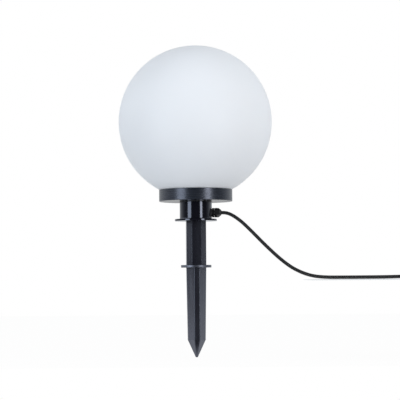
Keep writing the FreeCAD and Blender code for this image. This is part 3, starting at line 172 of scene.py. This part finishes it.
def make_cord():
    points = cord_points()
    data = bpy.data.curves.new("cable_line", "CURVE")
    data.dimensions = "3D"
    data.resolution_u = 6
    data.bevel_depth = CABLE_DIAMETER / 2
    data.bevel_resolution = 6
    data.use_fill_caps = True
    line = data.splines.new("NURBS")
    line.points.add(len(points) - 1)
    for spot, point in zip(line.points, points):
        spot.co = (*point, 1)
    line.order_u = 3
    line.use_endpoint_u = True
    cord = bpy.data.objects.new("cable_outside", data)
    bpy.context.collection.objects.link(cord)
    cord.data.materials.append(rubber("lead_rubber"))
    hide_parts("cable", "cable_coil")
    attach(cord, "lamp")


# The strap round the coil: once round it, and then over its own start to a rounded tongue
STRAP_TURN = math.radians(-135)
STRAP_NEAR, STRAP_FAR = 0.0223, 0.0671
STRAP_LOW, STRAP_HIGH = 0.0007, 0.0315
STRAP_BEND = 0.0040
STRAP_WIDTH = 0.0138
STRAP_THICKNESS = 0.0012
BEND_STEPS = 7
SIDE_STEPS = 9
TONGUE_STEPS = 13
LAP_STEPS = 5
LAP_LIFT = 1.1
TIP_STEPS = 4
TIP_ROUND = 0.97


def strap_loop():
    """Places and outward ways round the coil, as (out, up) pairs, from the top's middle."""
    out = STRAP_FAR - STRAP_BEND, STRAP_NEAR + STRAP_BEND
    up = STRAP_HIGH - STRAP_BEND, STRAP_LOW + STRAP_BEND
    bends = [(out[0], up[0], 90), (out[0], up[1], 0), (out[1], up[1], -90), (out[1], up[0], -180)]
    corners = []
    for x, z, start in bends:
        for i in range(BEND_STEPS + 1):
            turn = math.radians(start - 90 * i / BEND_STEPS)
            way = Vector((math.cos(turn), math.sin(turn)))
            corners.append((Vector((x, z)) + way * STRAP_BEND, way))
    middle = Vector(((STRAP_NEAR + STRAP_FAR) / 2, STRAP_HIGH))
    ring = [(middle, Vector((0, 1))), *corners, (middle, Vector((0, 1)))]
    loop = []
    for (first, way), (second, _) in zip(ring, ring[1:]):
        steps = SIDE_STEPS if (second - first).length > STRAP_BEND else 1
        loop += [(first.lerp(second, i / steps), way) for i in range(steps)]
    return loop


def strap_sections():
    """Rings of the strap from end to end, with its own thickness under the overlap."""
    loop = strap_loop()
    lift = STRAP_THICKNESS * LAP_LIFT
    stations = loop + loop[:TONGUE_STEPS]
    centre = Vector((COIL_X, -(COIL_MIDDLE + LAYER_TURNS * COIL_PITCH) / 2, 0))
    outward = Matrix.Rotation(STRAP_TURN, 3, "Z")
    rings = []
    for i, (spot, way) in enumerate(stations):
        rise = lift * smooth_step((i - len(loop) + LAP_STEPS) / LAP_STEPS)
        left = len(stations) - 1 - i
        width = STRAP_WIDTH * math.sqrt(1 - max(1 - left / TIP_STEPS, 0) ** 2 * TIP_ROUND)
        half, thick = width / 2, STRAP_THICKNESS / 2
        edge = min(thick, half / 2)
        shape = [(-half, 0), (edge - half, thick), (half - edge, thick)]
        shape += [(half, 0), (half - edge, -thick), (edge - half, -thick)]
        ring = []
        for across, stand in shape:
            x, z = spot + way * (rise + stand)
            ring.append(centre + outward @ Vector((x, across, z)))
        rings.append(ring)
    return rings


def make_strap():
    strap = new_mesh(
        "tie_strap", lambda mesh: skin(mesh, strap_sections()), webbing(), smooth=True
    )
    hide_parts("coil_tie")
    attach(strap, "lamp")


# The plug's moulding: a round body with two flats, a waist with grip ribs and a parting line
PLUG_FACE_ROUND = 0.0016
PLUG_RADIUS = 0.01735
PLUG_FLAT = 0.01295
PLUG_ROOT_SCALE = 0.62
PLUG_SHOULDER = 0.012
PLUG_STEP = 0.00045
RIB_START, RIB_END = 0.0095, 0.0285
RIB_PITCH = 0.0027
RIB_DEPTH = 0.0011
RIB_FADE = 0.002
RIB_SIDE, RIB_SPREAD = 0.72, 0.15
RIB_MEAN, RIB_SWING = 0.55, 0.45
PARTING_LINE = 0.00012
PARTING_WIDTH = 0.01
PLUG_SIDES = 96


def plug_radius(angle, along, length):
    """The distance from the plug's axis to its skin."""
    across, up = abs(math.cos(angle)), abs(math.sin(angle))
    radius = min(PLUG_RADIUS, PLUG_FLAT / max(up, PARTING_WIDTH))
    grow = smooth_step(along / PLUG_SHOULDER)
    radius *= PLUG_ROOT_SCALE + (1 - PLUG_ROOT_SCALE) * grow
    window = smooth_step((along - RIB_START) / RIB_FADE)
    window *= smooth_step((RIB_END - along) / RIB_FADE)
    side = smooth_step((across - RIB_SIDE) / RIB_SPREAD)
    wave = RIB_MEAN - RIB_SWING * math.cos(2 * math.pi * (along - RIB_START) / RIB_PITCH)
    radius -= RIB_DEPTH * window * side * wave
    left = length - along
    if left < PLUG_FACE_ROUND:
        radius -= PLUG_FACE_ROUND - math.sqrt(PLUG_FACE_ROUND**2 - (PLUG_FACE_ROUND - left) ** 2)
    return radius + (PARTING_LINE if up < PARTING_WIDTH else 0.0)


def make_plug_body():
    low, high = map(Vector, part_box("plug_body"))
    centre = (low + high) / 2
    length = high.y - low.y
    count = round(length / PLUG_STEP)

    def moulding(mesh):
        rings = []
        for i in range(count + 1):
            along = length * i / count
            ring = []
            for k in range(PLUG_SIDES):
                angle = 2 * math.pi * k / PLUG_SIDES
                radius = plug_radius(angle, along, length)
                across, up = radius * math.cos(angle), radius * math.sin(angle)
                ring.append(Vector((centre.x + across, high.y - along, centre.z + up)))
            rings.append(ring)
        skin(mesh, rings)

    plug = new_mesh("plug_moulding", moulding, rubber("plug_moulding_rubber"), smooth=True)
    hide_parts("plug_body")
    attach(plug, "lamp")


# Node helpers


def math_node(tree, kind, first, second=None):
    node = tree.nodes.new("ShaderNodeMath")
    node.operation = kind
    for socket, value in zip(node.inputs, (first, second)):
        if hasattr(value, "is_output"):
            tree.links.new(value, socket)
        elif value is not None:
            socket.default_value = value
    return node.outputs[0]


def ranged(tree, value, low, high, at_low, at_high):
    node = tree.nodes.new("ShaderNodeMapRange")
    node.interpolation_type = "SMOOTHSTEP"
    for key, number in (
        ("From Min", low),
        ("From Max", high),
        ("To Min", at_low),
        ("To Max", at_high),
    ):
        node.inputs[key].default_value = number
    tree.links.new(value, node.inputs["Value"])
    return node.outputs["Result"]


def share_of(tree, path, *rays):
    """One where the ray is of one of the kinds named."""
    outputs = [path.outputs[ray] for ray in rays]
    total = outputs[0]
    for output in outputs[1:]:
        total = math_node(tree, "MAXIMUM", total, output)
    return total


def blend_levels(tree, share, inside, outside):
    """Inside where share is one, and outside where it is zero."""
    first = math_node(tree, "MULTIPLY", inside, share)
    rest = math_node(tree, "SUBTRACT", 1.0, share)
    return math_node(tree, "ADD", first, math_node(tree, "MULTIPLY", outside, rest))


# Materials
NOISE_LOW, NOISE_HIGH = 0.3, 0.7


def new_material(name, color, roughness, metallic=0.0, **sockets):
    """A material whose uniform values sit on the shader's own sockets."""
    made = bpy.data.materials.new(name)
    made.use_nodes = True
    shader = made.node_tree.nodes["Principled BSDF"]
    shader.inputs["Base Color"].default_value = (*color, 1)
    shader.inputs["Roughness"].default_value = roughness
    shader.inputs["Metallic"].default_value = metallic
    for key, value in sockets.items():
        shader.inputs[key.replace("_", " ")].default_value = value
    return made


def shader_of(made):
    return made.node_tree.nodes["Principled BSDF"]


def noise(made, scale, detail=3.0, stretch=(1, 1, 1)):
    """A noise in the object's own space, drawn out along an axis by stretch."""
    tree = made.node_tree
    where = tree.nodes.new("ShaderNodeTexCoord")
    mapping = tree.nodes.new("ShaderNodeMapping")
    mapping.inputs["Scale"].default_value = stretch
    texture = tree.nodes.new("ShaderNodeTexNoise")
    texture.inputs["Scale"].default_value = scale
    texture.inputs["Detail"].default_value = detail
    tree.links.new(where.outputs["Object"], mapping.inputs["Vector"])
    tree.links.new(mapping.outputs["Vector"], texture.inputs["Vector"])
    return texture.outputs["Fac"]


def vary_roughness(made, source, low, high):
    ramp = made.node_tree.nodes.new("ShaderNodeMapRange")
    ramp.inputs["From Min"].default_value = NOISE_LOW
    ramp.inputs["From Max"].default_value = NOISE_HIGH
    ramp.inputs["To Min"].default_value = low
    ramp.inputs["To Max"].default_value = high
    made.node_tree.links.new(source, ramp.inputs["Value"])
    made.node_tree.links.new(ramp.outputs["Result"], shader_of(made).inputs["Roughness"])


def vary_color(made, source, first, second):
    mix = made.node_tree.nodes.new("ShaderNodeMix")
    mix.data_type = "RGBA"
    mix.inputs[6].default_value = (*first, 1)
    mix.inputs[7].default_value = (*second, 1)
    made.node_tree.links.new(source, mix.inputs["Factor"])
    made.node_tree.links.new(mix.outputs[2], shader_of(made).inputs["Base Color"])


def bump(made, source, depth, strength=1.0, edge=0.0):
    """Relief of a depth in metres, on edges that are rounded to a radius."""
    tree = made.node_tree
    node = tree.nodes.new("ShaderNodeBump")
    node.inputs["Distance"].default_value = depth
    node.inputs["Strength"].default_value = strength
    tree.links.new(source, node.inputs["Height"])
    if edge:
        rounded = tree.nodes.new("ShaderNodeBevel")
        rounded.inputs["Radius"].default_value = edge
        tree.links.new(rounded.outputs["Normal"], node.inputs["Normal"])
    tree.links.new(node.outputs["Normal"], shader_of(made).inputs["Normal"])


COOL = (0.76, 0.82, 1.0)
VIOLET_BLACK = (0.0052, 0.0050, 0.0084)


def opal():
    """Satin opal acrylic: milky, faintly blue, with the slow waviness of a blown wall."""
    made = new_material("opal_acrylic", (0.84, 0.87, 0.915), 0.42)
    shader = shader_of(made)
    shader.inputs["Subsurface Weight"].default_value = 0.25
    shader.inputs["Subsurface Radius"].default_value = (0.9, 1.0, 1.1)
    shader.inputs["Subsurface Scale"].default_value = 0.012
    shader.inputs["IOR"].default_value = 1.49
    shader.inputs["Specular IOR Level"].default_value = 0.12
    vary_color(made, noise(made, 6.0), (0.835, 0.865, 0.915), (0.855, 0.88, 0.915))
    vary_roughness(made, noise(made, 40.0), 0.38, 0.48)
    bump(made, noise(made, 9.0, 1.0), 0.00008)
    return made


def satin_black():
    """Black with the fine turned lines that run round the collar."""
    made = new_material("collar_black", (0.0105, 0.013, 0.0185), 0.28)
    shader = shader_of(made)
    shader.inputs["Specular IOR Level"].default_value = 0.62
    shader.inputs["Specular Tint"].default_value = (*COOL, 1)
    shader.inputs["Anisotropic"].default_value = 0.4
    lines = noise(made, 1.0, 4.0, (6, 6, 1500))
    vary_roughness(made, lines, 0.21, 0.33)
    bump(made, lines, 0.00002, 0.6, edge=0.0005)
    return made


def moulded_black(name, gloss, level, index=1.5, edge=0.0002):
    """Moulded black plastic with faint flow marks along the moulding."""
    made = new_material(name, VIOLET_BLACK, gloss, IOR=index)
    shader_of(made).inputs["Specular IOR Level"].default_value = level
    shader_of(made).inputs["Specular Tint"].default_value = (*COOL, 1)
    flow = noise(made, 1.0, 3.0, (60, 60, 9))
    vary_roughness(made, flow, gloss * 0.8, gloss * 1.2)
    bump(made, noise(made, 35.0, 2.0), 0.00002, 0.6, edge)
    return made


# Rubbed corners of the eight-sided post and spike, and the stop disc's levels between them
DISC_LEVELS = (0.0240, 0.0292)
DISC_SHARE = 0.4
SIDES = 8
CORNER_LOW, CORNER_HIGH = -0.9, 0.2
RUBBED = 0.7


def rub_corners(made):
    """Matt corners on an eight-sided part, rubbed by soil and hands, and a half matt disc."""
    tree = made.node_tree
    where = tree.nodes.new("ShaderNodeTexCoord")
    facing = tree.nodes.new("ShaderNodeSeparateXYZ")
    place = tree.nodes.new("ShaderNodeSeparateXYZ")
    tree.links.new(where.outputs["Normal"], facing.inputs[0])
    tree.links.new(where.outputs["Object"], place.inputs[0])
    turn = math_node(tree, "ARCTAN2", facing.outputs["Y"], facing.outputs["X"])
    wave = math_node(tree, "COSINE", math_node(tree, "MULTIPLY", turn, SIDES))
    corner = ranged(tree, wave, CORNER_LOW, CORNER_HIGH, 1.0, 0.0)
    low, high = DISC_LEVELS
    under = math_node(tree, "LESS_THAN", place.outputs["Z"], low)
    above = math_node(tree, "GREATER_THAN", place.outputs["Z"], high)
    share = blend_levels(tree, math_node(tree, "MAXIMUM", under, above), corner, DISC_SHARE)
    socket = shader_of(made).inputs["Roughness"]
    plain = socket.links[0].from_socket
    tree.links.new(blend_levels(tree, share, RUBBED, plain), socket)
    return made


def fine_black():
    """Very black nylon with a fine spark-eroded grain."""
    made = new_material("gland_black", (0.009, 0.009, 0.0105), 0.32)
    shader_of(made).inputs["Specular IOR Level"].default_value = 0.5
    vary_roughness(made, noise(made, 90.0), 0.26, 0.38)
    bump(made, noise(made, 1800.0, 2.0), 0.00002, 0.5, edge=0.0003)
    return made


def rubber(name):
    """Rubber sheath: matt with a slight skin, greyer where it has been handled."""
    made = new_material(name, (0.0125, 0.013, 0.0145), 0.5)
    shader_of(made).inputs["Specular IOR Level"].default_value = 0.35
    vary_color(made, noise(made, 22.0), (0.010, 0.0104, 0.0118), (0.015, 0.0156, 0.017))
    vary_roughness(made, noise(made, 60.0), 0.42, 0.56)
    bump(made, noise(made, 900.0, 3.0), 0.00003, 0.3)
    return made


def webbing():
    """Black nylon webbing, ribbed along its length and fuzzy from use."""
    made = new_material("webbing_black", (0.014, 0.014, 0.016), 0.75)
    shader_of(made).inputs["Sheen Weight"].default_value = 0.25
    tree = made.node_tree
    where = tree.nodes.new("ShaderNodeTexCoord")
    turned = tree.nodes.new("ShaderNodeMapping")
    turned.inputs["Rotation"].default_value = (0, 0, -STRAP_TURN)
    ribs = tree.nodes.new("ShaderNodeTexWave")
    ribs.bands_direction = "Y"
    ribs.inputs["Scale"].default_value = 190.0
    ribs.inputs["Distortion"].default_value = 1.5
    tree.links.new(where.outputs["Object"], turned.inputs["Vector"])
    tree.links.new(turned.outputs["Vector"], ribs.inputs["Vector"])
    vary_color(made, ribs.outputs["Fac"], (0.009, 0.009, 0.011), (0.022, 0.022, 0.024))
    vary_roughness(made, noise(made, 500.0), 0.65, 0.85)
    bump(made, ribs.outputs["Fac"], 0.00015, 0.7)
    return made


def seal_rubber():
    made = new_material("seal_rubber", (0.05, 0.05, 0.052), 0.62)
    bump(made, noise(made, 700.0), 0.00004, 0.5)
    vary_roughness(made, noise(made, 120.0), 0.55, 0.7)
    return made


def metal(name, color, roughness, lines=(1, 1, 1)):
    made = new_material(name, color, roughness, 1.0)
    vary_roughness(made, noise(made, 240.0, 3.0, lines), roughness * 0.75, roughness * 1.3)
    bump(made, noise(made, 400.0, 2.0, lines), 0.00002, 0.5)
    return made


def moulded(name, color, roughness):
    made = new_material(name, color, roughness)
    darker = tuple(c * 0.92 for c in color)
    vary_color(made, noise(made, 70.0), darker, color)
    vary_roughness(made, noise(made, 160.0), roughness * 0.85, roughness * 1.15)
    return made


def dress(material, *names):
    for name in names:
        node = nodes[name]
        node.data.materials.clear()
        node.data.materials.append(material)


def dress_nodes():
    dress(opal(), "globe_shell")
    dress(satin_black(), "collar")
    dress(moulded_black("gloss_black", 0.11, 0.6, edge=0.0005), "socket_body")
    dress(rub_corners(moulded_black("post_black", 0.25, 1.0)), "post")
    dress(rub_corners(moulded_black("spike_black", 0.25, 1.0, index=1.7)), "ground_spike")
    dress(fine_black(), "gland_body", "gland_nut", "gland_lock_nut", "gland_washer")
    dress(rubber("plug_rubber"), "plug_strain_relief", "cable_tail")
    dress(seal_rubber(), "globe_seal", "collar_gasket", "gland_seal_ring", "gland_insert")
    dress(
        metal("zinc_steel", (0.62, 0.63, 0.64), 0.3),
        "collar_screws",
        "bracket_screws",
        "post_screws",
        "spike_lock_screw",
        "lampholder_bracket",
        "terminal_screws",
    )
    dress(
        metal("brass", (0.76, 0.58, 0.3), 0.28),
        "holder_nipple",
        "nipple_nuts",
        "screw_shell",
        "centre_contact",
        "terminal_tubes",
        "bulb_foot_contact",
    )
    dress(metal("nickel", (0.7, 0.69, 0.66), 0.2), "plug_pins")
    dress(metal("cap_aluminium", (0.72, 0.72, 0.73), 0.3), "bulb_cap", "bulb_light_plate")
    dress(moulded("phenolic", (0.02, 0.018, 0.016), 0.35), "lampholder_body")
    dress(moulded("ceramic", (0.8, 0.79, 0.75), 0.2), "holder_insert")
    dress(moulded("vitrite", (0.03, 0.02, 0.025), 0.12), "bulb_insulator")
    dress(moulded("white_moulding", (0.78, 0.78, 0.77), 0.3), "bulb_housing", "terminal_block")
    dress(moulded("bulb_opal", (0.86, 0.86, 0.85), 0.25), "bulb_glass")
    dress(moulded("board_green", (0.03, 0.15, 0.07), 0.4), "bulb_driver_board")
    dress(moulded("phosphor", (0.8, 0.62, 0.2), 0.5), "light_chips")
    dress(moulded("brown_wire", (0.13, 0.05, 0.022), 0.35), "core_live", "lead_live")
    dress(moulded("blue_wire", (0.02, 0.08, 0.4), 0.35), "core_neutral", "lead_neutral")


# The stage: a white floor under the spike's tip, and a clear shelf at the ground's level that
# carries the lead and leaves the spike in sight from every side
FLOOR_LEVEL = -0.1501
FLOOR_REACH, FLOOR_FRONT = 3, -0.3
STAGE_GLOW = 0.96
# Painted dark reflection: the band in front of the object where gloss sees the floor's glow
# turned down
DARK_REFLECTION_EDGES = (-0.035, 0.005)
DARK_REFLECTION_SLANT = 0.7
DARK_REFLECTION_LEVEL = 0.05
SHELF_EDGE = 0.0004
SHELF = ((0.212, -0.175, -0.0017), (0.62, 0.045, -0.0002))


def white_stage():
    """White that the camera and gloss see almost evenly, with what is left of the shadows.
    In front of the object its glow is turned down for gloss only: a painted dark reflection,
    standing in for a black card that is not there."""
    made = new_material("stage_white", (0.8, 0.8, 0.8), 0.9)
    tree = made.node_tree
    path = tree.nodes.new("ShaderNodeLightPath")
    glow = tree.nodes.new("ShaderNodeEmission")
    glow.inputs["Color"].default_value = (1, 1, 1, 1)
    seen = share_of(tree, path, "Is Camera Ray", "Is Glossy Ray", "Is Transmission Ray")
    where = tree.nodes.new("ShaderNodeTexCoord")
    place = tree.nodes.new("ShaderNodeSeparateXYZ")
    tree.links.new(where.outputs["Object"], place.inputs[0])
    aside = math_node(tree, "ABSOLUTE", place.outputs["X"])
    slant = math_node(tree, "MULTIPLY", aside, DARK_REFLECTION_SLANT)
    behind = math_node(tree, "ADD", place.outputs["Y"], slant)
    mirrored = ranged(tree, behind, *DARK_REFLECTION_EDGES, DARK_REFLECTION_LEVEL, 1.0)
    straight = share_of(tree, path, "Is Camera Ray", "Is Transmission Ray")
    level = math_node(tree, "MAXIMUM", straight, mirrored)
    tree.links.new(level, glow.inputs["Strength"])
    mix = tree.nodes.new("ShaderNodeMixShader")
    tree.links.new(math_node(tree, "MULTIPLY", seen, STAGE_GLOW), mix.inputs["Fac"])
    tree.links.new(shader_of(made).outputs["BSDF"], mix.inputs[1])
    tree.links.new(glow.outputs["Emission"], mix.inputs[2])
    tree.links.new(mix.outputs["Shader"], tree.nodes["Material Output"].inputs["Surface"])
    return made


def clear_sheet():
    """Thin clear acrylic, just visible where it ends."""
    made = new_material("clear_sheet", (0.97, 0.98, 0.985), 0.04, IOR=1.06)
    shader_of(made).inputs["Transmission Weight"].default_value = 1.0
    vary_roughness(made, noise(made, 12.0), 0.03, 0.06)
    return made


def make_stage():
    def plane(mesh):
        near = [(-FLOOR_REACH, FLOOR_FRONT), (FLOOR_REACH, FLOOR_FRONT)]
        corners = [*near, (FLOOR_REACH, FLOOR_REACH), (-FLOOR_REACH, FLOOR_REACH)]
        mesh.faces.new([mesh.verts.new((x, y, FLOOR_LEVEL)) for x, y in corners])

    def shelf(mesh):
        low, high = map(Vector, SHELF)
        bmesh.ops.create_cube(mesh, size=1)
        bmesh.ops.scale(mesh, vec=high - low, verts=mesh.verts)
        bmesh.ops.translate(mesh, vec=(low + high) / 2, verts=mesh.verts)
        edges = mesh.edges[:]
        bmesh.ops.bevel(mesh, geom=edges, offset=SHELF_EDGE, segments=2, affect="EDGES")

    new_mesh("floor", plane, white_stage())
    new_mesh("shelf", shelf, clear_sheet())


# Light: a dark room in front with two soft boxes, and bright walls at the sides and behind
FRONT_EDGE, BACK_EDGE = -0.35, 0.75
ROOM_FRONT, ROOM_BACK = 0.04, 0.9
LEFT_PANEL, RIGHT_PANEL = 2.4, 0.6
PLAIN_LOW, PLAIN_HIGH = 0.02, 1.15
PLAIN_BACK, PLAIN_BEHIND = 0.42, 1.0
ROOM_LEFT, ROOM_RIGHT = 0.88, 1.02
PANEL_INNER, PANEL_OUTER = 0.6, 0.9
PANEL_FOOT, PANEL_RISE = 0.06, 0.2
PLAIN_LEFT = 0.75
WALL_TINT = (0.93, 0.965, 1.0)
BOX_DISTANCE, BOX_HEIGHT = 1.6, 0.12
SOFT_BOXES = [
    ("soft_box_right", 38.5, (0.42, 0.8), 8.5, (1, 1, 1)),
    ("soft_box_left", -46, (0.7, 0.8), 5.5, (0.88, 0.94, 1)),
]


def soft_box(name, azimuth, size, radiance, tint):
    """A soft box that stands at an angle to the right of the front."""
    data = bpy.data.lights.new(name, "AREA")
    data.shape = "RECTANGLE"
    data.size, data.size_y = size
    data.energy = radiance * math.pi * size[0] * size[1]
    data.color = tint
    lamp = bpy.data.objects.new(name, data)
    turn = math.radians(azimuth)
    across, along = BOX_DISTANCE * math.sin(turn), BOX_DISTANCE * math.cos(turn)
    lamp.location = (across, -along, BOX_HEIGHT)
    way = Vector((0, 0, BOX_HEIGHT)) - lamp.location
    lamp.rotation_euler = way.to_track_quat("-Z", "Y").to_euler()
    bpy.context.collection.objects.link(lamp)


def backdrop(tree, color, strength):
    node = tree.nodes.new("ShaderNodeBackground")
    node.inputs["Color"].default_value = (*color, 1)
    if isinstance(strength, float):
        node.inputs["Strength"].default_value = strength
    else:
        tree.links.new(strength, node.inputs["Strength"])
    return node.outputs[0]


def gloss_level(tree, x, y, z):
    """What gloss sees: a dark room in front, bright walls behind and raised panels aside."""
    front = ranged(tree, y, FRONT_EDGE, BACK_EDGE, ROOM_FRONT, ROOM_BACK)
    room = math_node(tree, "MULTIPLY", front, ranged(tree, x, -0.5, 0.5, ROOM_LEFT, ROOM_RIGHT))
    left = ranged(tree, x, -PANEL_OUTER, -PANEL_INNER, LEFT_PANEL, 0.0)
    right = ranged(tree, x, PANEL_INNER, PANEL_OUTER, 0.0, RIGHT_PANEL)
    raised = ranged(tree, z, PANEL_FOOT, PANEL_RISE, 0.0, 1.0)
    panels = math_node(tree, "MULTIPLY", math_node(tree, "ADD", left, right), raised)
    return math_node(tree, "ADD", room, panels)


def plain_level(tree, x, y, z):
    """Light on matt surfaces: most from above, less from the left, more from straight behind."""
    above = ranged(tree, z, -0.9, 0.8, PLAIN_LOW, PLAIN_HIGH)
    side = ranged(tree, x, -0.9, 0.5, PLAIN_LEFT, 1.0)
    depth = ranged(tree, y, -0.6, 0.7, 1.0, PLAIN_BACK)
    depth = math_node(tree, "ADD", depth, ranged(tree, y, 0.5, 1.0, 0.0, PLAIN_BEHIND))
    return math_node(tree, "MULTIPLY", above, math_node(tree, "MULTIPLY", side, depth))


def make_world():
    """White to the camera, with one set of levels for gloss and another for matt surfaces."""
    world = bpy.data.worlds.new("studio")
    bpy.context.scene.world = world
    world.use_nodes = True
    tree = world.node_tree
    tree.nodes.remove(tree.nodes["Background"])
    where = tree.nodes.new("ShaderNodeTexCoord")
    parts = tree.nodes.new("ShaderNodeSeparateXYZ")
    tree.links.new(where.outputs["Generated"], parts.inputs[0])
    gloss = gloss_level(tree, *parts.outputs)
    plain = plain_level(tree, *parts.outputs)
    path = tree.nodes.new("ShaderNodeLightPath")
    mirrored = share_of(tree, path, "Is Glossy Ray", "Is Transmission Ray")
    around = backdrop(tree, WALL_TINT, blend_levels(tree, mirrored, gloss, plain))
    mix = tree.nodes.new("ShaderNodeMixShader")
    tree.links.new(path.outputs["Is Camera Ray"], mix.inputs["Fac"])
    tree.links.new(around, mix.inputs[1])
    tree.links.new(backdrop(tree, (1.0, 1.0, 1.0), 1.0), mix.inputs[2])
    tree.links.new(mix.outputs["Shader"], tree.nodes["World Output"].inputs["Surface"])


def make_light():
    make_world()
    for box in SOFT_BOXES:
        soft_box(*box)
    bpy.context.scene.view_settings.view_transform = "Standard"


make_camera()
make_strap()
make_plug_body()
make_cord()
dress_nodes()
make_stage()
make_light()
